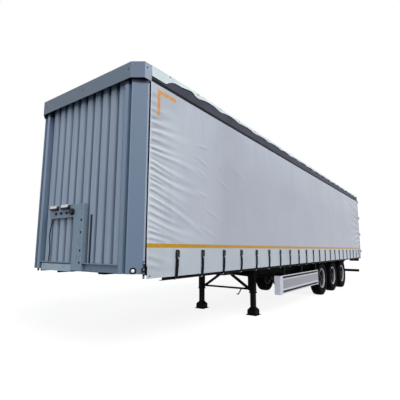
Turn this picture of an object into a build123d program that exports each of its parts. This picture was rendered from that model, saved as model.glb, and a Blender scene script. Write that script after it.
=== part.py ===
"""Three-axle curtain-side semi-trailer, parked on its landing legs.

+X runs to the rear, +Y to the trailer's right side, +Z up. The origin is on the
ground at the middle of the trailer's length and width. All sizes are millimetres.
"""
import os

from build123d import *

os.makedirs("parts", exist_ok=True)

# Overall size
LENGTH = 14600                 # hood face to the hinge knuckles of the rear doors
WIDTH = 2500                   # over the curtains
HEIGHT = 4000                  # ground to roof
FRONT = -LENGTH / 2
REAR = LENGTH / 2
HALF = WIDTH / 2

# Fits and sheets
GAP = 0.3                      # what a piece keeps from its seat
SKIN = 5.7                     # curtain, roof sheet and hood
SHEET_T = 5                    # folded steel of rails and posts
BODY_HALF = HALF - SKIN - GAP  # outer face of posts and rails
FRAME_TOP = HEIGHT - SKIN - GAP

# Deck
DECK_Z = 1280                  # top of the floor
FLOOR_T = 28
DECK_FRAME_Z = DECK_Z - FLOOR_T
FLOOR_SHEETS = 6
FLOOR_JOINT = 3

# Front wall, posts and hood, x measured back from the hood face
HOOD_H = 238
HOOD_Z = HEIGHT - HOOD_H
HOOD_D = 243
HOOD_CHAMFER_X = 111
HOOD_CHAMFER_Y = 159
HOOD_EDGE_R = 14
POST_FACE = FRONT + 40
POST_INNER = 945               # half width of the wall between the posts
POST_CHAMFER_Y = 1087
GROOVE_Y = 1049                # upright recess down the face of each post
GROOVE_W = 72
GROOVE_D = 48
GROOVE_FLANK = 12
POST_REAR = FRONT + 215
POST_LIP = 54
POST_BOTTOM = 1165
WALL_BASE = FRONT + 128        # front of the grooves
RIB_DEPTH = 36
RIB_COUNT = 10
RIB_PITCH = 184
RIB_CREST = 98
RIB_FLANK = 24
WALL_T = 4
WALL_BACK = WALL_BASE + WALL_T
CREST = WALL_BASE - RIB_DEPTH
SILL_LIP_X = FRONT + 45
SILL_LIP_H = 12

# Rear frame and doors, x counted forward from the hinge knuckles
KNUCKLE_R = 15
HINGE_PIN_R = 7
HINGE_X = REAR - KNUCKLE_R
HINGE_Y = HALF + 17
HINGE_OFFSET = 45              # door face to hinge axis
DOOR_T = 40
DOOR_FACE = HINGE_X - HINGE_OFFSET
DOOR_INNER = DOOR_FACE - DOOR_T
FRAME_REAR = DOOR_INNER - GAP
REAR_POST_D = 100
FRAME_FRONT = FRAME_REAR - REAR_POST_D
REAR_POST_W = 80
REAR_HEADER_H = 110
DOOR_EDGE_Y = HALF - 15
DOOR_BOTTOM = 1150
DOOR_TOP = HEIGHT - 40
DOOR_SPLIT = 9                 # gap between the leaves
DOOR_FRAME_W = 70
DOOR_RECESS = 8
HINGE_COUNT = 4
HINGE_FIRST = DOOR_BOTTOM + 250
HINGE_STEP = (DOOR_TOP - 210 - HINGE_FIRST) / (HINGE_COUNT - 1)
HINGE_Z = [HINGE_FIRST + index * HINGE_STEP for index in range(HINGE_COUNT)]
KNUCKLE_H = 60
LUG_H = 30
LUG_T = 10
LUG_REACH = 70                 # lug along the side of the post
STRAP_T = 8
HINGE_STRAP_L = 150
BAR_R = 13.5
BAR_OFFSET = 20                # door face to bar centre
BAR_Y = (330, 900)
BAR_BOTTOM = 1110
BAR_TOP = HEIGHT - 15
GUIDE_COUNT = 5
GUIDE_FIRST = DOOR_BOTTOM + 100
GUIDE_STEP = (DOOR_TOP - 60 - GUIDE_FIRST) / (GUIDE_COUNT - 1)
GUIDE_Z = [GUIDE_FIRST + index * GUIDE_STEP for index in range(GUIDE_COUNT)]
GUIDE_W = 70
GUIDE_H = 30
GUIDE_D = 36
HANDLE_Z = 1560
HANDLE_L = 330
HANDLE_H = 34

# Side rails
RAVE_BOTTOM = 1062
RAVE_FLANGE = 60
RAVE_NOTCH_L = 540             # depth from the hood over which the raves are shallower
CANT_BOTTOM = HEIGHT - 260
CANT_W = 90
BOW_PITCH = 1250
BOW_W = 50
BOW_H = 60
SIDE_POST_COUNT = 3
SIDE_POST_W = 120
SIDE_POST_D = 56

# Curtains, roof sheet and straps
POLE_R = 12
POLE_IN = 17                   # centre of the curtain pole from the post behind it
CURTAIN_START = POST_REAR + POLE_IN + POLE_R + 3
CURTAIN_END = FRAME_FRONT - POLE_IN - POLE_R - 3
CURTAIN_BOTTOM = 1104
CURTAIN_TOP = HEIGHT - 220
RATCHET_W = 24
RATCHET_D = 16
RATCHET_Z = (1150, 1262)
VALANCE_Z = HEIGHT - 65
VALANCE_CORNER_Z = HEIGHT - 158
VALANCE_CORNER_L = 284
STRAP_FIRST = 821
STRAP_PITCH = 630
STRAP_COUNT = int((CURTAIN_END - FRONT - STRAP_FIRST) / STRAP_PITCH) + 1
STRAP_W = 58
STRAP_SHEET = 3
STRAP_TOP = 1470
STRAP_END = 1072
BUCKLE_W = 72
BUCKLE_D = 8
BUCKLE_BOTTOM = 1335
HOOK_T = 5
HOOK_W = 26

# Main beams
BEAM_Y = 500
BEAM_FLANGE_W = 140
BEAM_FLANGE_T = 14
BEAM_WEB_T = 8
BEAM_BOTTOM = 780
NECK_BOTTOM = 1132
NECK_END = 2000
TAPER_END = 4800
TAIL_L = 900
TAIL_BOTTOM = 950
CROSS_FIRST = 620
CROSS_PITCH = 600
CROSS_W = 50
CROSS_T = 5
CROSS_DEPTH = 95
OUTRIGGER_DEPTH = 130
OUTRIGGER_TIP = 70

# Coupling
PLATE_START = 400
PLATE_T = 10
KINGPIN_X = 1600
KINGPIN_HOLE_R = 36.8
KINGPIN_FLANGE_R = 110
KINGPIN_FLANGE_T = 12
KINGPIN_COLLAR_R = 36.5
KINGPIN_COLLAR_L = 35
KINGPIN_NECK_R = 25.4
KINGPIN_NECK_L = 35
KINGPIN_HEAD_R = 35.7
KINGPIN_HEAD_L = 14

# Service bracket on the front wall
BRACKET_FACE = POST_FACE
BRACKET_T = 4
CHANNEL_Y = (-170, 80)
CHANNEL_TOP = 2130
CHANNEL_BOTTOM = 1168
CHANNEL_HOLE_Y = -112
CHANNEL_LARGE_R = 21
CHANNEL_LARGE_Z = (1889, 1713, 1453, 1280)
CHANNEL_SMALL_R = 8
CHANNEL_SMALL_Z = (2051, 1968, 1804, 1623, 1545, 1368)
PANEL_Y = (80, 730)
PANEL_Z = (1942, 2135)
LOWER_BEAM_Y = (80, 870)
LOWER_BEAM_Z = (1150, 1250)
LID_Y = (587, 286)
LID_W = 216
LID_H = 66
LID_Z = 2094
LID_PROUD = 38
SOCKET_Y = (541, 400, 256)
SOCKET_Z = 2012
SOCKET_R = 20
SOCKET_PROUD = 22
PLUG_Y = 110
PLUG_Z = 2020
PLUG_R = 52
PLUG_PROUD = 48
LINE_X = FRONT + 68            # cable and pipe, between the bracket's face and the wall
CABLE_R = 8
CABLE_YZ = (
    (676, PANEL_Z[0] - GAP),
    (676, 1915),
    (728, 1817),
    (752, 1670),
    (711, 1470),
    (731, 1320),
    (731, DECK_Z + GAP),
)
CABLE_BENDS = (60, 300, 300, 300, 100)
PIPE_Y = -290
PIPE_R = 11
PIPE_TOP = 1967

# Landing gear
LEG_X = 4226
LEG_Y = 721
LEG_OUTER = 118
LEG_WALL = 8
LEG_INNER = LEG_OUTER - 2 * LEG_WALL - 2 * GAP
LEG_TOP = 1080
LEG_OUTER_BOTTOM = 480
LEG_COLLAR_H = 28
LEG_COLLAR_T = 9
LEG_BRACKET_H = 180
LEG_INNER_TOP = LEG_TOP - 200
FOOT_PLATE = 250
FOOT_PLATE_T = 12
FOOT_BASE = 205
FOOT_BASE_TOP = 110
FOOT_TOP = 175
SHAFT_Z = 565
SHAFT_R = 22
BRACE_W = 60
BRACE_Z = 512
BRACE_TOP_Y = 60
BRACE_TOP_Z = 905
GEAR_D = 46                    # gear case on the inner side of the left leg
GEAR_GAP = 8
GEAR_Z = (550, 1040)
CRANK_Y = -425
CRANK_END_Y = -340
CRANK_DROP = 140
CRANK_T = 22
GRIP_R = 12
GRIP_L = 60

# Axles, suspension and wheels
FIRST_AXLE = LENGTH - 6060
AXLE_PITCH = 1380
AXLE_COUNT = 3
TYRE_R = 542.5
TYRE_W = 300
WHEEL_Y = 960
TYRE_BULGE_R = 430
TREAD_HALF_W = 124
RIM_SEAT_R = 292
RIM_HALF_W = 108
RIM_FLANGE_R = 308
RIM_FLANGE_T = 6
RIM_INNER_R = 281
DISC_T = 12
DISC_FACE = -5                 # wheel disc from the middle of the tyre, outwards
DISC_FLAT_R = 200
DISC_EDGE = -40
HAND_HOLE_COUNT = 8
HAND_HOLE_R = 27
HAND_HOLE_AT = 238
HUB_R = 75
HUB_CAP_R = 66
HUB_CAP_FACE = 92
HUB_CAP_T = 22
DRUM_R = 205
DRUM_T = 14
DRUM_BACK = -170
AXLE_R = 63.5
SPINDLE_R = 45
HUB_INNER = 60
ARM_W = 80
ARM_BOTTOM = 405
ARM_TOP = 480
ARM_EYE = 45                   # arm's depth round the pivot
ARM_SEAT = 110                 # half length of the axle seat and of the spring seat
PIVOT_X = 500
PIVOT_Z = 560
PIVOT_R = 20
HANGER_T = 12
HANGER_HALF_L = 120
SPRING_X = 380
SPRING_R = 145
SPRING_FOOT_R = 95
SPRING_ROLL_Z = 620

# Side guards
GUARD_START = 4555
GUARD_END = FIRST_AXLE - 1030
GUARD_T = 30
GUARD_STEPS = (                # top of each strip, and how far its face stands back
    (471, 5),
    (520, 9),
    (564, 0),
    (763, 3),
    (794, 0),
    (841, 9),
    (863, 4),
)
GUARD_BOTTOM = 448
GUARD_TOP = GUARD_STEPS[-1][0]
GUARD_PLATE_L = 175
GUARD_RETURN = 142             # how far the front end is folded inward
GUARD_PLATE_DROP = 11
GUARD_PLATE_T = 2
GUARD_END_W = 32
GUARD_HANGER_W = 60
GUARD_HANGER_D = 40

# Rear bumper and lamps
BUMPER_Z = (450, 560)
BUMPER_D = 100
BUMPER_HALF = 1180
BUMPER_X = REAR - 300
BUMPER_ARM_T = 12
BUMPER_ARM_L = 150
LAMP_W = 400
LAMP_H = 130
LAMP_D = 60
LAMP_Y = 960
MARKER_Y = 1152
MARKER_Z = 1207
MARKER_R = 42
MARKER_LENS_R = 24


# Main beams: two I sections with a shallow neck over the coupling
BEAM_START = WALL_BACK + 2
beam_outline = [
    (BEAM_START, DECK_FRAME_Z),
    (FRAME_FRONT, DECK_FRAME_Z),
    (FRAME_FRONT, TAIL_BOTTOM),
    (FRAME_FRONT - TAIL_L, BEAM_BOTTOM),
    (FRONT + TAPER_END, BEAM_BOTTOM),
    (FRONT + NECK_END, NECK_BOTTOM),
    (BEAM_START, NECK_BOTTOM),
]
with BuildPart() as main_beams:
    with BuildSketch(Plane.XZ.offset(-BEAM_Y)):
        with BuildLine():
            Polyline(*beam_outline, close=True)
        make_face()
    extrude(amount=BEAM_FLANGE_W / 2, both=True)
    for web_side in (-1, 1):
        with BuildSketch(Plane.XZ.offset(-BEAM_Y + web_side * BEAM_WEB_T / 2)):
            with BuildLine():
                Polyline(*beam_outline, close=True)
            make_face()
            offset(amount=-BEAM_FLANGE_T, kind=Kind.INTERSECTION, mode=Mode.REPLACE)
        extrude(amount=web_side * BEAM_FLANGE_W, mode=Mode.SUBTRACT)
    mirror(about=Plane.XZ)
main_beams.part.label = "main_beams"
export_step(main_beams.part, "parts/main_beams.step")


# Cross members between the beams and tapered outriggers outside them
cross_x = []
station = FRONT + CROSS_FIRST
while station < FRAME_FRONT - CROSS_PITCH / 2:
    cross_x.append(station)
    station += CROSS_PITCH
BEAM_EDGE = BEAM_Y + BEAM_FLANGE_W / 2
BEAM_INSIDE = BEAM_Y - BEAM_FLANGE_W / 2
RAVE_WEB = BODY_HALF - SHEET_T
with BuildPart() as cross_members:
    for x in cross_x:
        with BuildSketch(Plane.XZ):
            with BuildLine():
                Polyline(
                    (x + CROSS_W, DECK_FRAME_Z),
                    (x, DECK_FRAME_Z),
                    (x, DECK_FRAME_Z - CROSS_DEPTH),
                    (x + CROSS_W, DECK_FRAME_Z - CROSS_DEPTH),
                )
                offset(amount=CROSS_T, side=Side.LEFT, kind=Kind.INTERSECTION)
            make_face()
        extrude(amount=BEAM_INSIDE, both=True)
        with BuildSketch(Plane.YZ.offset(x)):
            with BuildLine():
                Polyline(
                    (BEAM_EDGE, DECK_FRAME_Z),
                    (RAVE_WEB, DECK_FRAME_Z),
                    (RAVE_WEB, DECK_FRAME_Z - OUTRIGGER_TIP),
                    (BEAM_EDGE, DECK_FRAME_Z - OUTRIGGER_DEPTH),
                    close=True,
                )
            make_face()
        extrude(amount=CROSS_T)
        with BuildSketch(Plane.YZ.offset(x)):
            with BuildLine():
                Polyline(
                    (BEAM_EDGE, DECK_FRAME_Z),
                    (RAVE_WEB, DECK_FRAME_Z),
                    (RAVE_WEB, DECK_FRAME_Z - CROSS_T),
                    (BEAM_EDGE, DECK_FRAME_Z - CROSS_T),
                    close=True,
                )
            make_face()
        extrude(amount=CROSS_W)
    mirror(about=Plane.XZ)
cross_members.part.label = "cross_members"
export_step(cross_members.part, "parts/cross_members.step")


# Side raves: a channel along each side of the deck
with BuildPart() as side_raves:
    with BuildSketch(Plane.YZ.offset(POST_REAR)):
        with BuildLine():
            Polyline(
                (BODY_HALF - RAVE_FLANGE, DECK_Z),
                (BODY_HALF, DECK_Z),
                (BODY_HALF, RAVE_BOTTOM),
                (BODY_HALF - RAVE_FLANGE, RAVE_BOTTOM),
            )
            offset(amount=SHEET_T, side=Side.RIGHT, kind=Kind.INTERSECTION)
        make_face()
    extrude(amount=FRAME_FRONT - POST_REAR)
    # Each front end is shallower, down to the foot of the post
    with Locations((POST_REAR, BODY_HALF, POST_BOTTOM)):
        Box(
            FRONT + RAVE_NOTCH_L - POST_REAR, RAVE_FLANGE, POST_BOTTOM - RAVE_BOTTOM,
            align=(Align.MIN, Align.MAX, Align.MAX), mode=Mode.SUBTRACT,
        )
    mirror(about=Plane.XZ)
side_raves.part.label = "side_raves"
export_step(side_raves.part, "parts/side_raves.step")


# Coupler plate under the neck, with the hole for the kingpin
with BuildPart() as coupler_plate:
    with BuildSketch(Plane.XY.offset(NECK_BOTTOM - PLATE_T)):
        with Locations((FRONT + PLATE_START, 0)):
            Rectangle(NECK_END - PLATE_START, 2 * BEAM_EDGE, align=(Align.MIN, Align.CENTER))
        with Locations((FRONT + KINGPIN_X, 0)):
            Circle(KINGPIN_HOLE_R, mode=Mode.SUBTRACT)
    extrude(amount=PLATE_T)
coupler_plate.part.label = "coupler_plate"
export_step(coupler_plate.part, "parts/coupler_plate.step")


# Kingpin, flanged above the plate
kingpin_steps = (  # radius, length
    (KINGPIN_FLANGE_R, KINGPIN_FLANGE_T),
    (KINGPIN_COLLAR_R, PLATE_T + KINGPIN_COLLAR_L),
    (KINGPIN_NECK_R, KINGPIN_NECK_L),
    (KINGPIN_HEAD_R, KINGPIN_HEAD_L),
)
with BuildPart() as kingpin:
    step_top = NECK_BOTTOM + KINGPIN_FLANGE_T
    for radius, length in kingpin_steps:
        with BuildSketch(Plane.XY.offset(step_top - length)):
            with Locations((FRONT + KINGPIN_X, 0)):
                Circle(radius)
        extrude(amount=length)
        step_top -= length
kingpin.part.label = "kingpin"
export_step(kingpin.part, "parts/kingpin.step")


# Floor sheets between the raves
FLOOR_HALF = BODY_HALF - RAVE_FLANGE - GAP
floor_start = WALL_BACK + GAP
sheet_length = (FRAME_FRONT - GAP - floor_start + FLOOR_JOINT) / FLOOR_SHEETS - FLOOR_JOINT
with BuildPart() as deck_floor:
    for index in range(FLOOR_SHEETS):
        with Locations((floor_start + index * (sheet_length + FLOOR_JOINT), 0, DECK_FRAME_Z)):
            Box(sheet_length, 2 * FLOOR_HALF, FLOOR_T, align=(Align.MIN, Align.CENTER, Align.MIN))
    # The first sheet is notched round the front posts
    with Locations((floor_start, 0, DECK_FRAME_Z)):
        for side in (-1, 1):
            with Locations((0, side * (POST_INNER - GAP), 0)):
                Box(
                    POST_REAR - floor_start + GAP, FLOOR_HALF, FLOOR_T,
                    align=(Align.MIN, Align.MIN if side > 0 else Align.MAX, Align.MIN),
                    mode=Mode.SUBTRACT,
                )
deck_floor.part.label = "deck_floor"
export_step(deck_floor.part, "parts/deck_floor.step")


# Front wall: one sheet with upright ribs
wall_path = [(WALL_BASE, -POST_INNER)]
for index in range(RIB_COUNT):
    middle = (index + 0.5 - RIB_COUNT / 2) * RIB_PITCH
    wall_path += [
        (WALL_BASE, middle - RIB_CREST / 2 - RIB_FLANK),
        (WALL_BASE - RIB_DEPTH, middle - RIB_CREST / 2),
        (WALL_BASE - RIB_DEPTH, middle + RIB_CREST / 2),
        (WALL_BASE, middle + RIB_CREST / 2 + RIB_FLANK),
    ]
wall_path.append((WALL_BASE, POST_INNER))
with BuildPart() as front_wall:
    with BuildSketch(Plane.XY.offset(DECK_Z)):
        with BuildLine():
            Polyline(*wall_path)
            offset(amount=WALL_T, side=Side.RIGHT, kind=Kind.INTERSECTION)
        make_face()
    extrude(amount=FRAME_TOP - DECK_Z)
front_wall.part.label = "front_wall"
export_step(front_wall.part, "parts/front_wall.step")


# Front posts: folded sheet with an upright groove and a wide corner chamfer
with BuildPart() as front_posts:
    with BuildSketch(Plane.XY.offset(POST_BOTTOM)):
        with BuildLine():
            Polyline(
                (WALL_BACK, POST_INNER),
                (POST_FACE, POST_INNER),
                (POST_FACE, GROOVE_Y - GROOVE_W / 2),
                (POST_FACE + GROOVE_D, GROOVE_Y - GROOVE_W / 2 + GROOVE_FLANK),
                (POST_FACE + GROOVE_D, GROOVE_Y + GROOVE_W / 2 - GROOVE_FLANK),
                (POST_FACE, GROOVE_Y + GROOVE_W / 2),
                (POST_FACE, POST_CHAMFER_Y),
                (POST_FACE + BODY_HALF - POST_CHAMFER_Y, BODY_HALF),
                (POST_REAR, BODY_HALF),
                (POST_REAR, BODY_HALF - POST_LIP),
            )
            offset(amount=SHEET_T, side=Side.RIGHT, kind=Kind.INTERSECTION)
        make_face()
    extrude(amount=FRAME_TOP - POST_BOTTOM)
    mirror(about=Plane.XZ)
front_posts.part.label = "front_posts"
export_step(front_posts.part, "parts/front_posts.step")


# Front sill: a channel under the wall, open to the rear, with a lip along its top
with BuildPart() as front_sill:
    with BuildSketch(Plane.XZ):
        with BuildLine():
            Polyline(
                (WALL_BACK, DECK_Z),
                (CREST, DECK_Z),
                (CREST, POST_BOTTOM),
                (WALL_BACK, POST_BOTTOM),
            )
            offset(amount=SHEET_T, side=Side.LEFT, kind=Kind.INTERSECTION)
        make_face()
        with BuildLine():
            Polyline((CREST, DECK_Z), (SILL_LIP_X, DECK_Z), (SILL_LIP_X, DECK_Z - SILL_LIP_H))
            offset(amount=SHEET_T, side=Side.LEFT, kind=Kind.INTERSECTION)
        make_face()
    extrude(amount=POST_INNER, both=True)
front_sill.part.label = "front_sill"
export_step(front_sill.part, "parts/front_sill.step")


# Front hood: a cap over the wall and posts, open below and to the rear
with BuildPart() as front_hood:
    with BuildSketch(Plane.XY.offset(HOOD_Z)):
        with BuildLine():
            Polyline(
                (FRONT, HALF - HOOD_CHAMFER_Y),
                (FRONT + HOOD_CHAMFER_X, HALF),
                (FRONT + HOOD_D, HALF),
                (FRONT + HOOD_D, -HALF),
                (FRONT + HOOD_CHAMFER_X, -HALF),
                (FRONT, -HALF + HOOD_CHAMFER_Y),
                close=True,
            )
        make_face()
    extrude(amount=HEIGHT - HOOD_Z)
    rim = front_hood.faces().sort_by(Axis.Z)[-1].edges()
    fillet(rim.sort_by(Axis.X)[:-1], radius=HOOD_EDGE_R)
    with BuildSketch(Plane.XY.offset(HOOD_Z)):
        with BuildLine():
            Polyline(
                (FRONT, HALF - HOOD_CHAMFER_Y),
                (FRONT + HOOD_CHAMFER_X, HALF),
                (FRONT + HOOD_D + 2 * SKIN, HALF),
                (FRONT + HOOD_D + 2 * SKIN, -HALF),
                (FRONT + HOOD_CHAMFER_X, -HALF),
                (FRONT, -HALF + HOOD_CHAMFER_Y),
                close=True,
            )
        make_face()
        offset(amount=-SKIN, kind=Kind.INTERSECTION, mode=Mode.REPLACE)
    extrude(amount=HEIGHT - SKIN - HOOD_Z, mode=Mode.SUBTRACT)
front_hood.part.label = "front_hood"
export_step(front_hood.part, "parts/front_hood.step")


# Cant rails: a hollow rail along each top edge
with BuildPart() as cant_rails:
    with BuildSketch(Plane.YZ.offset(POST_REAR)):
        with Locations((BODY_HALF, CANT_BOTTOM)):
            Rectangle(CANT_W, FRAME_TOP - CANT_BOTTOM, align=(Align.MAX, Align.MIN))
        with Locations((BODY_HALF - SHEET_T, CANT_BOTTOM + SHEET_T)):
            Rectangle(
                CANT_W - 2 * SHEET_T, FRAME_TOP - CANT_BOTTOM - 2 * SHEET_T,
                align=(Align.MAX, Align.MIN), mode=Mode.SUBTRACT,
            )
    extrude(amount=FRAME_FRONT - POST_REAR)
    mirror(about=Plane.XZ)
cant_rails.part.label = "cant_rails"
export_step(cant_rails.part, "parts/cant_rails.step")


# Roof bows between the cant rails
bow_count = int((FRAME_FRONT - POST_REAR) // BOW_PITCH)
bow_step = (FRAME_FRONT - POST_REAR) / (bow_count + 1)
with BuildPart() as roof_bows:
    for index in range(bow_count):
        with Locations((POST_REAR + (index + 1) * bow_step, 0, FRAME_TOP)):
            Box(
                BOW_W, 2 * (BODY_HALF - CANT_W), BOW_H,
                align=(Align.CENTER, Align.CENTER, Align.MAX),
            )
roof_bows.part.label = "roof_bows"
export_step(roof_bows.part, "parts/roof_bows.step")


# Roof sheet with a short valance down each side, deeper at its front corner
roof_start = FRONT + HOOD_D + GAP
with BuildPart() as roof_sheet:
    with BuildSketch(Plane.YZ.offset(roof_start)):
        with BuildLine():
            Polyline(
                (-HALF, VALANCE_Z),
                (-HALF, HEIGHT),
                (HALF, HEIGHT),
                (HALF, VALANCE_Z),
            )
            offset(amount=SKIN, side=Side.RIGHT, kind=Kind.INTERSECTION)
        make_face()
    extrude(amount=FRAME_FRONT - GAP - roof_start)
    for side in (-1, 1):
        with Locations((roof_start, side * HALF, VALANCE_CORNER_Z)):
            Box(
                VALANCE_CORNER_L, SKIN, VALANCE_Z - VALANCE_CORNER_Z,
                align=(Align.MIN, Align.MAX if side > 0 else Align.MIN, Align.MIN),
            )
roof_sheet.part.label = "roof_sheet"
export_step(roof_sheet.part, "parts/roof_sheet.step")


# Pillars behind the curtains, standing on the raves
side_post_step = (FRAME_FRONT - POST_REAR) / (SIDE_POST_COUNT + 1)
with BuildPart() as side_posts:
    for index in range(SIDE_POST_COUNT):
        with Locations((POST_REAR + (index + 1) * side_post_step, BODY_HALF, DECK_Z)):
            Box(
                SIDE_POST_W, SIDE_POST_D, CANT_BOTTOM - DECK_Z,
                align=(Align.CENTER, Align.MAX, Align.MIN),
            )
    mirror(about=Plane.XZ)
side_posts.part.label = "side_posts"
export_step(side_posts.part, "parts/side_posts.step")


# Curtains, one along each side
for name, side in (("curtain_left", -1), ("curtain_right", 1)):
    with BuildPart() as curtain:
        with Locations((CURTAIN_START, side * HALF, CURTAIN_BOTTOM)):
            Box(
                CURTAIN_END - CURTAIN_START, SKIN, CURTAIN_TOP - CURTAIN_BOTTOM,
                align=(Align.MIN, Align.MAX if side > 0 else Align.MIN, Align.MIN),
            )
    curtain.part.label = name
    export_step(curtain.part, f"parts/{name}.step")


# Poles that stretch the curtains, with a ratchet below each front one
POLE_Y = BODY_HALF - POLE_R
with BuildPart() as curtain_poles:
    for x in (POST_REAR + POLE_IN, FRAME_FRONT - POLE_IN):
        with Locations((x, POLE_Y, DECK_Z + GAP)):
            Cylinder(
                POLE_R, CANT_BOTTOM - DECK_Z - 2 * GAP,
                align=(Align.CENTER, Align.CENTER, Align.MIN),
            )
    with Locations((POST_REAR + POLE_IN, BODY_HALF + GAP, RATCHET_Z[0])):
        Box(
            RATCHET_W, RATCHET_D, RATCHET_Z[1] - RATCHET_Z[0],
            align=(Align.CENTER, Align.MIN, Align.MIN),
        )
    with Locations((POST_REAR + POLE_IN, BODY_HALF + GAP, RATCHET_Z[0] + RATCHET_W)):
        Cylinder(RATCHET_W * 0.55, RATCHET_D, rotation=(-90, 0, 0), align=(Align.CENTER, Align.CENTER, Align.MIN))
    mirror(about=Plane.XZ)
curtain_poles.part.label = "curtain_poles"
export_step(curtain_poles.part, "parts/curtain_poles.step")


# Curtain straps, their buckles and the hooks under the rave
strap_x = [FRONT + STRAP_FIRST + index * STRAP_PITCH for index in range(STRAP_COUNT)]
STRAP_IN = HALF + GAP
STRAP_OUT = STRAP_IN + STRAP_SHEET
BUCKLE_IN = STRAP_OUT + GAP
with BuildPart() as curtain_straps:
    for x in strap_x:
        with Locations((x, STRAP_IN, STRAP_END)):
            Box(
                STRAP_W, STRAP_SHEET, STRAP_TOP - STRAP_END,
                align=(Align.CENTER, Align.MIN, Align.MIN),
            )
    mirror(about=Plane.XZ)
curtain_straps.part.label = "curtain_straps"
export_step(curtain_straps.part, "parts/curtain_straps.step")

with BuildPart() as strap_buckles:
    for x in strap_x:
        with BuildSketch(Plane.YZ.offset(x)):
            with BuildLine():
                Polyline(
                    (BUCKLE_IN, BUCKLE_BOTTOM),
                    (BUCKLE_IN + BUCKLE_D / 2, BUCKLE_BOTTOM),
                    (BUCKLE_IN + BUCKLE_D, BUCKLE_BOTTOM + BUCKLE_W),
                    (BUCKLE_IN + BUCKLE_D, STRAP_TOP - BUCKLE_D),
                    (BUCKLE_IN + BUCKLE_D / 2, STRAP_TOP),
                    (BUCKLE_IN, STRAP_TOP),
                    close=True,
                )
            make_face()
        extrude(amount=BUCKLE_W / 2, both=True)
    mirror(about=Plane.XZ)
strap_buckles.part.label = "strap_buckles"
export_step(strap_buckles.part, "parts/strap_buckles.step")

HOOK_TIP_Y = BODY_HALF - RAVE_FLANGE - GAP
with BuildPart() as strap_hooks:
    for x in strap_x:
        with BuildSketch(Plane.YZ.offset(x)):
            with BuildLine():
                Polyline(
                    (STRAP_OUT, STRAP_END),
                    (STRAP_OUT, RAVE_BOTTOM - GAP - HOOK_T),
                    (HOOK_TIP_Y - HOOK_T, RAVE_BOTTOM - GAP - HOOK_T),
                    (HOOK_TIP_Y - HOOK_T, RAVE_BOTTOM + 3 * HOOK_T),
                )
                offset(amount=HOOK_T, side=Side.RIGHT, kind=Kind.INTERSECTION)
            make_face()
        extrude(amount=HOOK_W / 2, both=True)
    mirror(about=Plane.XZ)
strap_hooks.part.label = "strap_hooks"
export_step(strap_hooks.part, "parts/strap_hooks.step")


# Rear frame: two posts, header and sill, with the hinge lugs and pins
with BuildPart() as rear_frame:
    with BuildSketch(Plane.YZ.offset(FRAME_FRONT)):
        with Locations((0, RAVE_BOTTOM)):
            Rectangle(WIDTH, HEIGHT - RAVE_BOTTOM, align=(Align.CENTER, Align.MIN))
        with Locations((0, DECK_Z)):
            Rectangle(
                WIDTH - 2 * REAR_POST_W, HEIGHT - REAR_HEADER_H - DECK_Z,
                align=(Align.CENTER, Align.MIN), mode=Mode.SUBTRACT,
            )
    extrude(amount=REAR_POST_D)
    for z in HINGE_Z:
        for end in (-1, 1):
            lug_z = z + end * (KNUCKLE_H + LUG_H + 2) / 2
            with Locations((HINGE_X, HALF, lug_z)):
                Box(
                    HINGE_X - FRAME_REAR + LUG_REACH, LUG_T, LUG_H,
                    align=(Align.MAX, Align.MIN, Align.CENTER),
                )
            with Locations((HINGE_X, HINGE_Y, lug_z)):
                Cylinder(KNUCKLE_R, LUG_H)
                Box(KNUCKLE_R, HINGE_Y - HALF, LUG_H, align=(Align.MAX, Align.MAX, Align.CENTER))
        with Locations((HINGE_X, HINGE_Y, z)):
            Cylinder(HINGE_PIN_R, KNUCKLE_H + 2 * LUG_H + 2)
    mirror(about=Plane.XZ)
rear_frame.part.label = "rear_frame"
export_step(rear_frame.part, "parts/rear_frame.step")


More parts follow.
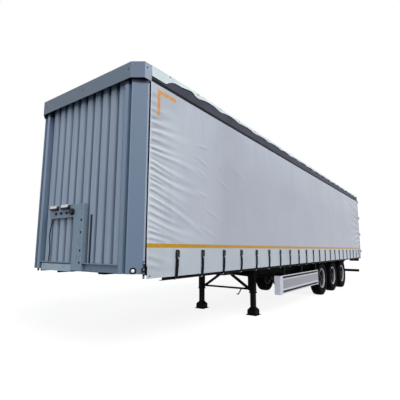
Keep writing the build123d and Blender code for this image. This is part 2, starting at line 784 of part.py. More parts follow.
# Rear doors: leaf, hinge straps and lock bars for each side
for name, side in (("left", -1), ("right", 1)):
    with BuildPart() as leaf:
        with Locations((DOOR_INNER, DOOR_SPLIT / 2, DOOR_BOTTOM)):
            Box(
                DOOR_T, DOOR_EDGE_Y - DOOR_SPLIT / 2, DOOR_TOP - DOOR_BOTTOM,
                align=(Align.MIN, Align.MIN, Align.MIN),
            )
        with Locations((DOOR_FACE, DOOR_SPLIT / 2 + DOOR_FRAME_W, DOOR_BOTTOM + DOOR_FRAME_W)):
            Box(
                DOOR_RECESS, DOOR_EDGE_Y - DOOR_SPLIT / 2 - 2 * DOOR_FRAME_W,
                DOOR_TOP - DOOR_BOTTOM - 2 * DOOR_FRAME_W,
                align=(Align.MAX, Align.MIN, Align.MIN), mode=Mode.SUBTRACT,
            )
        if side < 0:
            mirror(about=Plane.XZ, mode=Mode.REPLACE)
    leaf.part.label = f"rear_door_{name}"
    export_step(leaf.part, f"parts/rear_door_{name}.step")

    with BuildPart() as hinge_straps:
        for z in HINGE_Z:
            with BuildSketch(Plane.XY.offset(z - KNUCKLE_H / 2)):
                with BuildLine():
                    Polyline(
                        (DOOR_FACE, DOOR_EDGE_Y),
                        (DOOR_FACE, DOOR_EDGE_Y - HINGE_STRAP_L),
                        (DOOR_FACE + STRAP_T, DOOR_EDGE_Y - HINGE_STRAP_L),
                        (DOOR_FACE + STRAP_T, DOOR_EDGE_Y - STRAP_T),
                        (HINGE_X, HINGE_Y - KNUCKLE_R),
                        (HINGE_X, HINGE_Y),
                        (HINGE_X - KNUCKLE_R, HINGE_Y),
                        close=True,
                    )
                make_face()
                with Locations((HINGE_X, HINGE_Y)):
                    Circle(KNUCKLE_R)
                    Circle(HINGE_PIN_R + GAP, mode=Mode.SUBTRACT)
            extrude(amount=KNUCKLE_H)
        if side < 0:
            mirror(about=Plane.XZ, mode=Mode.REPLACE)
    hinge_straps.part.label = f"door_hinges_{name}"
    export_step(hinge_straps.part, f"parts/door_hinges_{name}.step")

    with BuildPart() as lock_bars:
        for y in BAR_Y:
            with Locations((DOOR_FACE + BAR_OFFSET, y, BAR_BOTTOM)):
                Cylinder(BAR_R, BAR_TOP - BAR_BOTTOM, align=(Align.CENTER, Align.CENTER, Align.MIN))
            for z in GUIDE_Z:
                with Locations((DOOR_FACE - DOOR_RECESS * (GUIDE_Z[0] < z < GUIDE_Z[-1]), y, z)):
                    Box(
                        GUIDE_D + DOOR_RECESS * (GUIDE_Z[0] < z < GUIDE_Z[-1]), GUIDE_W, GUIDE_H,
                        align=(Align.MIN, Align.CENTER, Align.CENTER),
                    )
            with Locations((DOOR_FACE + BAR_OFFSET, y, HANDLE_Z)):
                Box(
                    BAR_OFFSET / 2, HANDLE_L, HANDLE_H,
                    align=(Align.CENTER, Align.MIN if y < HANDLE_L * 2 else Align.MAX, Align.CENTER),
                )
        if side < 0:
            mirror(about=Plane.XZ, mode=Mode.REPLACE)
    lock_bars.part.label = f"lock_bars_{name}"
    export_step(lock_bars.part, f"parts/lock_bars_{name}.step")


# Service bracket: upright channel with holes, coupling panel and lower beam
with BuildPart() as service_bracket:
    with BuildSketch(Plane.XY.offset(CHANNEL_BOTTOM)):
        with BuildLine():
            Polyline(
                (CREST, CHANNEL_Y[0]),
                (BRACKET_FACE, CHANNEL_Y[0]),
                (BRACKET_FACE, CHANNEL_Y[1]),
                (CREST, CHANNEL_Y[1]),
            )
            offset(amount=BRACKET_T, side=Side.RIGHT, kind=Kind.INTERSECTION)
        make_face()
    extrude(amount=CHANNEL_TOP - CHANNEL_BOTTOM)
    with BuildSketch(Plane.XZ.offset(-PANEL_Y[0])):
        with BuildLine():
            Polyline(
                (CREST, PANEL_Z[1]),
                (BRACKET_FACE, PANEL_Z[1]),
                (BRACKET_FACE, PANEL_Z[0]),
                (CREST, PANEL_Z[0]),
            )
            offset(amount=BRACKET_T, side=Side.LEFT, kind=Kind.INTERSECTION)
        make_face()
    extrude(amount=-(PANEL_Y[1] - PANEL_Y[0]))
    with BuildSketch(Plane.XZ.offset(-LOWER_BEAM_Y[0])):
        with BuildLine():
            Polyline(
                (CREST, LOWER_BEAM_Z[1]),
                (BRACKET_FACE, LOWER_BEAM_Z[1]),
                (BRACKET_FACE, LOWER_BEAM_Z[0]),
                (CREST, LOWER_BEAM_Z[0]),
            )
            offset(amount=BRACKET_T, side=Side.LEFT, kind=Kind.INTERSECTION)
        make_face()
    extrude(amount=-(LOWER_BEAM_Y[1] - LOWER_BEAM_Y[0]))
    # Notched round the sill's lip
    with Locations((SILL_LIP_X - GAP, 0, DECK_Z - SILL_LIP_H - GAP)):
        Box(
            CREST - SILL_LIP_X + 2 * GAP, 2 * POST_INNER, SILL_LIP_H + 2 * GAP,
            align=(Align.MIN, Align.CENTER, Align.MIN), mode=Mode.SUBTRACT,
        )
    with BuildSketch(Plane.YZ.offset(BRACKET_FACE)):
        with Locations([(CHANNEL_HOLE_Y, z) for z in CHANNEL_LARGE_Z]):
            Circle(CHANNEL_LARGE_R)
        with Locations([(CHANNEL_HOLE_Y, z) for z in CHANNEL_SMALL_Z]):
            Circle(CHANNEL_SMALL_R)
    extrude(amount=BRACKET_T, mode=Mode.SUBTRACT)
service_bracket.part.label = "service_bracket"
export_step(service_bracket.part, "parts/service_bracket.step")


# Two lidded couplings, three sockets and a round plug on the panel
with BuildPart() as service_couplings:
    with BuildSketch(Plane.YZ.offset(BRACKET_FACE)):
        with Locations([(y, LID_Z) for y in LID_Y]):
            RectangleRounded(LID_W, LID_H, LID_H * 0.45)
    extrude(amount=-LID_PROUD, taper=12)
    with BuildSketch(Plane.YZ.offset(BRACKET_FACE)):
        with Locations([(y, SOCKET_Z) for y in SOCKET_Y]):
            Circle(SOCKET_R)
    extrude(amount=-SOCKET_PROUD)
    with BuildSketch(Plane.YZ.offset(BRACKET_FACE)):
        with Locations((PLUG_Y, PLUG_Z)):
            Circle(PLUG_R)
    extrude(amount=-PLUG_PROUD, taper=10)
service_couplings.part.label = "service_couplings"
export_step(service_couplings.part, "parts/service_couplings.step")


# A cable from the panel to the lower beam, and an upright pipe beside the channel
with BuildPart() as service_lines:
    with BuildLine() as cable_path:
        FilletPolyline(*[(LINE_X, y, z) for y, z in CABLE_YZ], radius=CABLE_BENDS)
    with BuildSketch(Plane(origin=cable_path.line @ 0, z_dir=cable_path.line % 0)):
        Circle(CABLE_R)
    sweep(path=cable_path.line)
    with Locations((CREST - GAP - PIPE_R, PIPE_Y, DECK_Z + GAP)):
        Cylinder(PIPE_R, PIPE_TOP - DECK_Z, align=(Align.CENTER, Align.CENTER, Align.MIN))
    with Locations((CREST - GAP, PIPE_Y, PIPE_TOP)):
        Box(3 * PIPE_R, 3 * PIPE_R, PIPE_R, align=(Align.MAX, Align.CENTER, Align.MAX))
service_lines.part.label = "service_lines"
export_step(service_lines.part, "parts/service_lines.step")


# Front marker lamps on the chamfer of the posts
marker_plane = Plane(
    origin=(POST_FACE + MARKER_Y - POST_CHAMFER_Y, MARKER_Y, MARKER_Z), z_dir=(-1, 1, 0)
)
with BuildPart() as front_marker_lamps:
    with BuildSketch(marker_plane):
        Circle(MARKER_R)
    extrude(amount=MARKER_R / 4)
    with BuildSketch(marker_plane):
        Circle(MARKER_LENS_R)
    extrude(amount=MARKER_R / 2)
    mirror(about=Plane.XZ)
front_marker_lamps.part.label = "front_marker_lamps"
export_step(front_marker_lamps.part, "parts/front_marker_lamps.step")


# Landing gear: outer legs with their brackets to the beams
with BuildPart() as landing_gear_legs:
    with BuildSketch(Plane.XY.offset(LEG_OUTER_BOTTOM)):
        with Locations((FRONT + LEG_X, LEG_Y)):
            Rectangle(LEG_OUTER, LEG_OUTER)
            Rectangle(LEG_OUTER - 2 * LEG_WALL, LEG_OUTER - 2 * LEG_WALL, mode=Mode.SUBTRACT)
    extrude(amount=LEG_TOP - LEG_OUTER_BOTTOM)
    with BuildSketch(Plane.XY.offset(LEG_OUTER_BOTTOM)):
        with Locations((FRONT + LEG_X, LEG_Y)):
            Rectangle(LEG_OUTER + 2 * LEG_COLLAR_T, LEG_OUTER + 2 * LEG_COLLAR_T)
            Rectangle(LEG_OUTER, LEG_OUTER, mode=Mode.SUBTRACT)
    extrude(amount=LEG_COLLAR_H)
    for end in (-1, 1):
        with Locations((FRONT + LEG_X + end * (LEG_OUTER / 2 - LEG_WALL), LEG_Y - LEG_OUTER / 2, LEG_TOP)):
            Box(
                LEG_WALL, LEG_Y - LEG_OUTER / 2 - BEAM_Y - BEAM_WEB_T / 2, LEG_BRACKET_H,
                align=(Align.CENTER, Align.MAX, Align.MAX),
            )
    mirror(about=Plane.XZ)
landing_gear_legs.part.label = "landing_gear_legs"
export_step(landing_gear_legs.part, "parts/landing_gear_legs.step")


# Inner legs with square feet on their plates, drawn in towards the leg
with BuildPart() as landing_gear_feet:
    with BuildSketch(Plane.XY.offset(FOOT_TOP)):
        with Locations((FRONT + LEG_X, LEG_Y)):
            Rectangle(LEG_INNER, LEG_INNER)
    extrude(amount=LEG_INNER_TOP - FOOT_TOP)
    with BuildSketch(Plane.XY.offset(FOOT_PLATE_T)):
        with Locations((FRONT + LEG_X, LEG_Y)):
            Rectangle(FOOT_BASE, FOOT_BASE)
    extrude(amount=FOOT_BASE_TOP - FOOT_PLATE_T)
    with BuildSketch(Plane.XY.offset(FOOT_BASE_TOP)):
        with Locations((FRONT + LEG_X, LEG_Y)):
            Rectangle(FOOT_BASE, FOOT_BASE)
    with BuildSketch(Plane.XY.offset(FOOT_TOP)):
        with Locations((FRONT + LEG_X, LEG_Y)):
            Rectangle(LEG_INNER, LEG_INNER)
    loft()
    with BuildSketch(Plane.XY):
        with Locations((FRONT + LEG_X, LEG_Y)):
            Rectangle(FOOT_PLATE, FOOT_PLATE)
    extrude(amount=FOOT_PLATE_T)
    mirror(about=Plane.XZ)
landing_gear_feet.part.label = "landing_gear_feet"
export_step(landing_gear_feet.part, "parts/landing_gear_feet.step")


# Braces, cross shaft, gear case and crank of the landing gear
LEG_FACE = LEG_Y - LEG_OUTER / 2
with BuildPart() as landing_gear_braces:
    with BuildSketch(Plane.YZ.offset(FRONT + LEG_X - BRACE_W / 2)):
        with BuildLine():
            Polyline(
                (LEG_FACE - GAP, BRACE_Z),
                (LEG_FACE - GAP, BRACE_Z + BRACE_W),
                (BRACE_TOP_Y, BRACE_TOP_Z + BRACE_W),
                (-BRACE_TOP_Y, BRACE_TOP_Z + BRACE_W),
                (-LEG_FACE + GAP, BRACE_Z + BRACE_W),
                (-LEG_FACE + GAP, BRACE_Z),
                (-BRACE_TOP_Y, BRACE_TOP_Z),
                (BRACE_TOP_Y, BRACE_TOP_Z),
                close=True,
            )
        make_face()
    extrude(amount=BRACE_W)
    with Locations((FRONT + LEG_X, 0, BRACE_TOP_Z)):
        Box(
            BRACE_W, 2 * (BEAM_Y - BEAM_WEB_T / 2 - GAP), BRACE_W,
            align=(Align.CENTER, Align.CENTER, Align.MIN),
        )
    with Locations((FRONT + LEG_X, 0, SHAFT_Z)):
        Cylinder(SHAFT_R, 2 * (LEG_FACE - GAP), rotation=(90, 0, 0))
    with Locations((FRONT + LEG_X, -LEG_FACE + GEAR_GAP, GEAR_Z[0])):
        Box(
            BRACE_W, GEAR_D, GEAR_Z[1] - GEAR_Z[0],
            align=(Align.CENTER, Align.MIN, Align.MIN),
        )
    with BuildSketch(Plane.YZ.offset(FRONT + LEG_X - CRANK_T / 2)):
        with BuildLine():
            Polyline(
                (CRANK_Y - CRANK_T / 2, SHAFT_Z),
                (CRANK_Y + CRANK_T / 2, SHAFT_Z),
                (CRANK_END_Y + CRANK_T / 2, SHAFT_Z - CRANK_DROP),
                (CRANK_END_Y - CRANK_T / 2, SHAFT_Z - CRANK_DROP),
                close=True,
            )
        make_face()
    extrude(amount=CRANK_T)
    with Locations((FRONT + LEG_X, CRANK_END_Y - CRANK_T / 2, SHAFT_Z - CRANK_DROP)):
        Cylinder(GRIP_R, GRIP_L, rotation=(-90, 0, 0), align=(Align.CENTER, Align.CENTER, Align.MIN))
landing_gear_braces.part.label = "landing_gear_braces"
export_step(landing_gear_braces.part, "parts/landing_gear_braces.step")


# Side guard of the left side: a stepped rail, its front end folded inward
guard_face = []
strip_bottom = GUARD_BOTTOM
for strip_top, back in GUARD_STEPS:
    guard_face += [(HALF - back, strip_bottom), (HALF - back, strip_top)]
    strip_bottom = strip_top
guard_bays = [x + STRAP_PITCH / 2 for x in strap_x]
guard_bays = [
    x for x in guard_bays
    if GUARD_START + GUARD_HANGER_W / 2 < x - FRONT < GUARD_END - GUARD_HANGER_W
]
with BuildPart() as side_guards:
    with BuildSketch(Plane.YZ.offset(FRONT + GUARD_START)):
        with BuildLine():
            Polyline((HALF - GUARD_T, GUARD_BOTTOM), *guard_face, (HALF - GUARD_T, GUARD_TOP), close=True)
        make_face()
    extrude(amount=GUARD_END - GUARD_START)
    with Locations((FRONT + GUARD_START, HALF + GUARD_PLATE_T, GUARD_BOTTOM - GUARD_PLATE_DROP)):
        Box(
            GUARD_PLATE_L, GUARD_T + GUARD_PLATE_T, GUARD_TOP - GUARD_BOTTOM + GUARD_PLATE_DROP,
            align=(Align.MIN, Align.MAX, Align.MIN),
        )
        Box(
            GUARD_T, GUARD_RETURN, GUARD_TOP - GUARD_BOTTOM + GUARD_PLATE_DROP,
            align=(Align.MIN, Align.MAX, Align.MIN),
        )
    with Locations((FRONT + GUARD_END, HALF + GUARD_PLATE_T, GUARD_BOTTOM - GUARD_PLATE_DROP)):
        Box(
            GUARD_END_W, GUARD_T + GUARD_PLATE_T, GUARD_TOP - GUARD_BOTTOM + GUARD_PLATE_DROP,
            align=(Align.MAX, Align.MAX, Align.MIN),
        )
    mirror(about=Plane.XZ, mode=Mode.REPLACE)
side_guards.part.label = "side_guards"
export_step(side_guards.part, "parts/side_guards.step")

with BuildPart() as guard_hangers:
    for x in guard_bays[::2]:
        with Locations((x, GUARD_T - HALF + GAP, GUARD_BOTTOM)):
            Box(
                GUARD_HANGER_W, GUARD_HANGER_D, RAVE_BOTTOM - GAP - GUARD_BOTTOM,
                align=(Align.CENTER, Align.MIN, Align.MIN),
            )
guard_hangers.part.label = "guard_hangers"
export_step(guard_hangers.part, "parts/guard_hangers.step")


# Axles: a tube with a spindle at each end
axle_x = [FRONT + FIRST_AXLE + index * AXLE_PITCH for index in range(AXLE_COUNT)]
with BuildPart() as axles:
    for x in axle_x:
        with Locations((x, 0, TYRE_R)):
            Cylinder(AXLE_R, 2 * (WHEEL_Y - HUB_INNER - 6), rotation=(90, 0, 0))
            Cylinder(SPINDLE_R, 2 * (WHEEL_Y + HUB_INNER), rotation=(90, 0, 0))
axles.part.label = "axles"
export_step(axles.part, "parts/axles.step")


# Hangers and trailing arms under the beams
with BuildPart() as hangers:
    for x in axle_x:
        for plate in (-1, 1):
            with BuildSketch(Plane.XZ.offset(-(BEAM_Y + plate * (ARM_W / 2 + GAP)))):
                with BuildLine():
                    Polyline(
                        (x - PIVOT_X - HANGER_HALF_L, BEAM_BOTTOM),
                        (x - PIVOT_X + HANGER_HALF_L, BEAM_BOTTOM),
                        (x - PIVOT_X + ARM_EYE, PIVOT_Z - ARM_EYE),
                        (x - PIVOT_X - ARM_EYE, PIVOT_Z - ARM_EYE),
                        close=True,
                    )
                make_face()
            extrude(amount=-plate * HANGER_T)
        with Locations((x - PIVOT_X, BEAM_Y, PIVOT_Z)):
            Cylinder(PIVOT_R, ARM_W + 2 * HANGER_T, rotation=(90, 0, 0))
    mirror(about=Plane.XZ)
hangers.part.label = "suspension_hangers"
export_step(hangers.part, "parts/suspension_hangers.step")

with BuildPart() as trailing_arms:
    for x in axle_x:
        with BuildSketch(Plane.XZ.offset(-BEAM_Y)):
            with BuildLine():
                Polyline(
                    (x - PIVOT_X - ARM_EYE, PIVOT_Z - ARM_EYE / 2),
                    (x - PIVOT_X - ARM_EYE / 2, PIVOT_Z - ARM_EYE),
                    (x - 1.6 * ARM_SEAT, ARM_BOTTOM),
                    (x + SPRING_X, ARM_BOTTOM),
                    (x + SPRING_X + ARM_SEAT, (ARM_BOTTOM + ARM_TOP) / 2),
                    (x + SPRING_X + ARM_SEAT, ARM_TOP),
                    (x + ARM_SEAT, ARM_TOP),
                    (x + AXLE_R + ARM_EYE / 2, TYRE_R),
                    (x - AXLE_R - ARM_EYE / 2, TYRE_R),
                    (x - ARM_SEAT, ARM_TOP),
                    (x - PIVOT_X + ARM_EYE, PIVOT_Z + ARM_EYE / 2),
                    (x - PIVOT_X, PIVOT_Z + ARM_EYE),
                    (x - PIVOT_X - ARM_EYE, PIVOT_Z + ARM_EYE / 2),
                    close=True,
                )
            make_face()
            with Locations((x, TYRE_R)):
                Circle(AXLE_R + GAP, mode=Mode.SUBTRACT)
            with Locations((x - PIVOT_X, PIVOT_Z)):
                Circle(PIVOT_R + GAP, mode=Mode.SUBTRACT)
        extrude(amount=ARM_W / 2, both=True)
    mirror(about=Plane.XZ)
trailing_arms.part.label = "trailing_arms"
export_step(trailing_arms.part, "parts/trailing_arms.step")


# Air springs between the arms and the beams
with BuildPart() as air_springs:
    for x in axle_x:
        with BuildSketch(Plane.XZ.offset(-BEAM_Y)):
            with BuildLine():
                Polyline(
                    (x + SPRING_X, ARM_TOP),
                    (x + SPRING_X + SPRING_FOOT_R, ARM_TOP),
                    (x + SPRING_X + SPRING_FOOT_R, SPRING_ROLL_Z),
                    (x + SPRING_X + SPRING_R, SPRING_ROLL_Z),
                    (x + SPRING_X + SPRING_R, BEAM_BOTTOM),
                    (x + SPRING_X, BEAM_BOTTOM),
                    close=True,
                )
            make_face()
        revolve(axis=Axis((x + SPRING_X, BEAM_Y, 0), (0, 0, 1)))
    mirror(about=Plane.XZ)
air_springs.part.label = "air_springs"
export_step(air_springs.part, "parts/air_springs.step")


# Wheels: a tyre and a rim with disc, hub and drum at each axle end
FLANGE_IN = RIM_HALF_W + GAP
FLANGE_OUT = FLANGE_IN + RIM_FLANGE_T
FLANGE_FLARE = (RIM_FLANGE_R - RIM_SEAT_R + GAP) * (TYRE_W / 2 - RIM_HALF_W) / (TYRE_BULGE_R - RIM_SEAT_R) + GAP
for number, x in enumerate(axle_x, start=1):
    for name, side in (("left", -1), ("right", 1)):
        centre = (x, side * WHEEL_Y, TYRE_R)
        section = Plane(origin=centre, x_dir=(0, side, 0), z_dir=(side, 0, 0))
        axis = Axis(centre, (0, 1, 0))
        with BuildPart() as tyre:
            with BuildSketch(section):
                with BuildLine():
                    Polyline(
                        (-RIM_HALF_W, RIM_SEAT_R),
                        (RIM_HALF_W, RIM_SEAT_R),
                        (TYRE_W / 2, TYRE_BULGE_R),
                        (TREAD_HALF_W, TYRE_R),
                        (-TREAD_HALF_W, TYRE_R),
                        (-TYRE_W / 2, TYRE_BULGE_R),
                        close=True,
                    )
                make_face()
            revolve(axis=axis)
        tyre.part.label = f"tyre_{name}_{number}"
        export_step(tyre.part, f"parts/tyre_{name}_{number}.step")

        with BuildPart() as rim:
            with BuildSketch(section):
                with BuildLine():
                    # Barrel with its flanges
                    Polyline(
                        (-FLANGE_OUT, RIM_INNER_R), (-FLANGE_OUT - FLANGE_FLARE, RIM_FLANGE_R),
                        (-FLANGE_IN - FLANGE_FLARE, RIM_FLANGE_R), (-FLANGE_IN, RIM_SEAT_R - GAP),
                        (FLANGE_IN, RIM_SEAT_R - GAP), (FLANGE_IN + FLANGE_FLARE, RIM_FLANGE_R),
                        (FLANGE_OUT + FLANGE_FLARE, RIM_FLANGE_R), (FLANGE_OUT, RIM_INNER_R),
                        close=True,
                    )
                make_face()
                with BuildLine():
                    # Dished disc, up to the barrel
                    Polyline(
                        (DISC_FACE - DISC_T, HUB_R), (DISC_FACE, HUB_R), (DISC_FACE, DISC_FLAT_R),
                        (DISC_EDGE, RIM_INNER_R + 1), (DISC_EDGE - DISC_T, RIM_INNER_R + 1),
                        (DISC_FACE - DISC_T, DISC_FLAT_R),
                        close=True,
                    )
                make_face()
                with BuildLine():
                    # Hub with its closed cap
                    Polyline(
                        (-HUB_INNER, SPINDLE_R + GAP), (HUB_CAP_FACE - HUB_CAP_T, SPINDLE_R + GAP),
                        (HUB_CAP_FACE - HUB_CAP_T, 0), (HUB_CAP_FACE, 0), (HUB_CAP_FACE, HUB_CAP_R),
                        (DISC_FACE, HUB_R), (-HUB_INNER, HUB_R),
                        close=True,
                    )
                make_face()
                with BuildLine():
                    # Brake drum behind the disc
                    Polyline(
                        (DISC_FACE - DISC_T, DRUM_R - DRUM_T), (DISC_FACE - DISC_T, DRUM_R),
                        (DRUM_BACK, DRUM_R), (DRUM_BACK, DRUM_R - DRUM_T),
                        close=True,
                    )
                make_face()
            revolve(axis=axis)
            with BuildSketch(Plane(origin=centre, x_dir=(1, 0, 0), z_dir=(0, side, 0))):
                with PolarLocations(HAND_HOLE_AT, HAND_HOLE_COUNT):
                    Circle(HAND_HOLE_R)
            extrude(amount=DISC_EDGE - DISC_T, mode=Mode.SUBTRACT)
        rim.part.label = f"wheel_{name}_{number}"
        export_step(rim.part, f"parts/wheel_{name}_{number}.step")


# Rear bumper on arms from the beams
TAIL_SLOPE = (TAIL_BOTTOM - BEAM_BOTTOM) / TAIL_L
with BuildPart() as rear_bumper:
    with Locations((BUMPER_X, 0, BUMPER_Z[0])):
        Box(
            BUMPER_D, 2 * BUMPER_HALF, BUMPER_Z[1] - BUMPER_Z[0],
            align=(Align.MAX, Align.CENTER, Align.MIN),
        )
    with BuildSketch(Plane.XZ.offset(-BEAM_Y)):
        with BuildLine():
            Polyline(
                (BUMPER_X - BUMPER_D, BUMPER_Z[1]),
                (BUMPER_X, BUMPER_Z[1]),
                (FRAME_FRONT, TAIL_BOTTOM),
                (FRAME_FRONT - BUMPER_ARM_L, TAIL_BOTTOM - BUMPER_ARM_L * TAIL_SLOPE),
                close=True,
            )
        make_face()
    extrude(amount=BUMPER_ARM_T / 2, both=True)
    mirror(about=Plane.XZ)
rear_bumper.part.label = "rear_bumper"
export_step(rear_bumper.part, "parts/rear_bumper.step")


# Rear lamps hung under the rear frame
with BuildPart() as rear_lamps:
    with Locations((FRAME_REAR, LAMP_Y, RAVE_BOTTOM - GAP)):
        Box(LAMP_D, LAMP_W, LAMP_H, align=(Align.MAX, Align.CENTER, Align.MAX))
    mirror(about=Plane.XZ)
rear_lamps.part.label = "rear_lamps"
export_step(rear_lamps.part, "parts/rear_lamps.step")
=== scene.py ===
"""Looks of a three-axle curtain-side semi-trailer, parked on its landing legs.

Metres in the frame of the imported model: +X to the rear, +Y to the trailer's right
side, +Z up, with the ground at z = 0.
"""
import math
from functools import partial

import bmesh
import bpy
import numpy as np
from mathutils import Matrix, Vector


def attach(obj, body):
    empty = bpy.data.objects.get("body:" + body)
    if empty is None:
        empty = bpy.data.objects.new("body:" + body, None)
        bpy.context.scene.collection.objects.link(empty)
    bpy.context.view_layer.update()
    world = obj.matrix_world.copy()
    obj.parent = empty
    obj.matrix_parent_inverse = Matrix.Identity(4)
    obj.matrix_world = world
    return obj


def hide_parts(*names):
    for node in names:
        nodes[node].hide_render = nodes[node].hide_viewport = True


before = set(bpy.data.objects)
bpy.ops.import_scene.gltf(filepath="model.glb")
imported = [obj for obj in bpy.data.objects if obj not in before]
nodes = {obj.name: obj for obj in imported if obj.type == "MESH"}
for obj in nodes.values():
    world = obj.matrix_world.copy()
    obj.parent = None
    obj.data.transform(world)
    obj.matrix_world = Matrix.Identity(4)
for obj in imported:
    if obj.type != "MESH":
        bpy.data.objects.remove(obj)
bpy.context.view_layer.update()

# Places and sizes of the solids that the pieces are fitted to
FRONT = -7.3                    # face of the hood
HALF = 1.25                     # half width over the curtains
ROOF = 4.0                      # height of the roof
CLOTH_Y = HALF - 0.0012         # half width over the cloth where it lies flat
CLOTH_FROM = 0.247              # front edge of the curtains, from the hood
CLOTH_TO = 14.3677              # rear edge of the curtains, from the hood
CURTAIN_START = FRONT + CLOTH_FROM
CURTAIN_BOTTOM = 1.104
CURTAIN_TOP = 3.766
BAND = (1.495, 1.55)            # heights of the yellow band
TAPE_LEVEL = (3.634, 3.70)      # heights of the contour tape's level run
TAPE_UPRIGHT = (0.360, 0.422)   # places of its upright run, from the hood
TAPE_END = 0.764                # rear end of its level run, from the hood
TAPE_FOOT = 3.32                # lower end of its upright run
ROOF_START = FRONT + 0.2433
ROOF_END = 7.0995
POST_REAR = 0.215               # rear face of the corner posts, from the hood
BOW_STEP = 1.18207              # from one roof bow to the next
STRAP_FIRST = 0.821             # first strap, from the hood
STRAP_PITCH = 0.63
STRAP_X = [FRONT + STRAP_FIRST + STRAP_PITCH * index for index in range(22)]
AXLE_X = (1.24, 2.62, 4.0)
WHEEL_Y = 0.96
TYRE_RADIUS = 0.5425
SIDES = (("left", -1), ("right", 1))
GUARD_FROM = FRONT + 4.73       # front end of the guard's channels, behind its plate
GUARD_TO = FRONT + 7.478
GUARD_MIDDLE = 0.6635           # height midway between its edges
CHANNELS = ((0.4722, 0.5190), (0.7955, 0.8400))     # lower and upper edge of each channel

NOISE = "ShaderNodeTexNoise"
CELLS = "ShaderNodeTexVoronoi"
WAVE = "ShaderNodeTexWave"
RANGE = "ShaderNodeMapRange"
MIX = "ShaderNodeMix"
BUMP = "ShaderNodeBump"
STRETCH = "ShaderNodeMapping"
SPLIT = "ShaderNodeSeparateXYZ"
MATHS = "ShaderNodeMath"
VECTOR = "ShaderNodeVectorMath"
RAYS = "ShaderNodeLightPath"
COLOUR = {"out": 2, "data_type": "RGBA"}    # for a mix of two colours


# Small tools

def linear(hex_colour):
    """An sRGB hex value as the linear colour that a shader socket takes."""
    channels = [int(hex_colour[i:i + 2], 16) / 255 for i in (1, 3, 5)]
    return [c / 12.92 if c <= 0.04045 else ((c + 0.055) / 1.055) ** 2.4 for c in channels] + [1.0]


def bands(period):
    """The wave texture's scale for bands that are period metres apart."""
    return 2 * math.pi / (20 * period)


def node(tree, kind, inputs, out=0, to=None, **settings):
    """Adds a node with its settings, colours and links, and gives back one of its outputs."""
    made = tree.nodes.new(kind)
    for name, value in settings.items():
        setattr(made, name, value)
    for key, value in inputs.items():
        if isinstance(value, bpy.types.NodeSocket):
            tree.links.new(value, made.inputs[key])
        else:
            made.inputs[key].default_value = linear(value) if isinstance(value, str) else value
    if to is not None:
        tree.links.new(made.outputs[out], to)
    return made.outputs[out] if made.outputs else None


def new_finish(name, **sockets):
    """A new material, its node adder, its shader's inputs, and each point's place in the part."""
    material = bpy.data.materials.new(name)
    material.use_nodes = True
    shader = material.node_tree.nodes["Principled BSDF"].inputs
    for socket, value in sockets.items():
        shader[socket.replace("_", " ")].default_value = value
    add = partial(node, material.node_tree)
    return material, add, shader, add("ShaderNodeTexCoord", {}, out="Object")


# Patterns that several materials share

def grain(add, place, shader, size, depth, strength):
    """Dimples or specks in the surface, with their size and depth in metres."""
    specks = add(NOISE, {"Vector": place, "Scale": 1 / size})
    add(BUMP, {"Height": specks, "Distance": depth, "Strength": strength}, to=shader["Normal"])
    return specks


def patches(add, place, size, detail, low, high, most=1.0):
    """Soft patches as a share: 0 where the noise is under low, and most where it is over high."""
    noise = add(NOISE, {"Vector": place, "Scale": 1 / size, "Detail": detail})
    return add(RANGE, {0: noise, 1: low, 2: high, 4: most})


def fluted_lens(name, crest, groove, roughness):
    """A moulded lens with upright flutes 5 mm apart, which also change its colour."""
    material, add, shader, place = new_finish(name, Roughness=roughness, Coat_Weight=0.6)
    flutes = add(WAVE, {"Vector": place, "Scale": bands(0.005)}, out=1, bands_direction="Y")
    add(MIX, {0: flutes, 6: crest, 7: groove}, to=shader["Base Color"], **COLOUR)
    add(BUMP, {"Height": flutes, "Distance": 0.0005, "Strength": 0.4}, to=shader["Normal"])
    return material


# Materials

def sprayed_wall_paint():
    """Blue-grey two-pack paint sprayed on the folded front wall: satin, with painted shade down in the
    grooves.
    """
    material, add, shader, place = new_finish("sprayed_wall_paint", Roughness=0.45, Specular_IOR_Level=0.3)
    depth = add(SPLIT, {0: place}, out="X")
    # Painted shade: the grooves are painted darker than the crests
    groove = add(RANGE, {0: depth, 1: FRONT + 0.093, 2: FRONT + 0.124})
    tone = add(MIX, {0: groove, 6: "#8391a1", 7: "#4d5b70"}, **COLOUR)
    drawn_out = add(STRETCH, {"Vector": place, "Scale": (14, 14, 0.7)})
    runs = patches(add, drawn_out, 1.0, 3.0, 0.45, 0.75, 0.5)
    tone = add(MIX, {0: runs, 6: tone, 7: "#6a7a8e"}, **COLOUR)
    # A painted shadow darkens the top of each groove under the hood
    height = add(SPLIT, {0: place}, out="Z")
    under = add(RANGE, {0: height, 1: 3.69, 2: 3.735, 4: 0.85})
    hood_shadow = add(MATHS, {0: under, 1: groove}, operation="MULTIPLY")
    add(MIX, {0: hood_shadow, 6: tone, 7: "#222b3e"}, to=shader["Base Color"], **COLOUR)
    grain(add, place, shader, 0.004, 0.0001, 0.4)
    return material


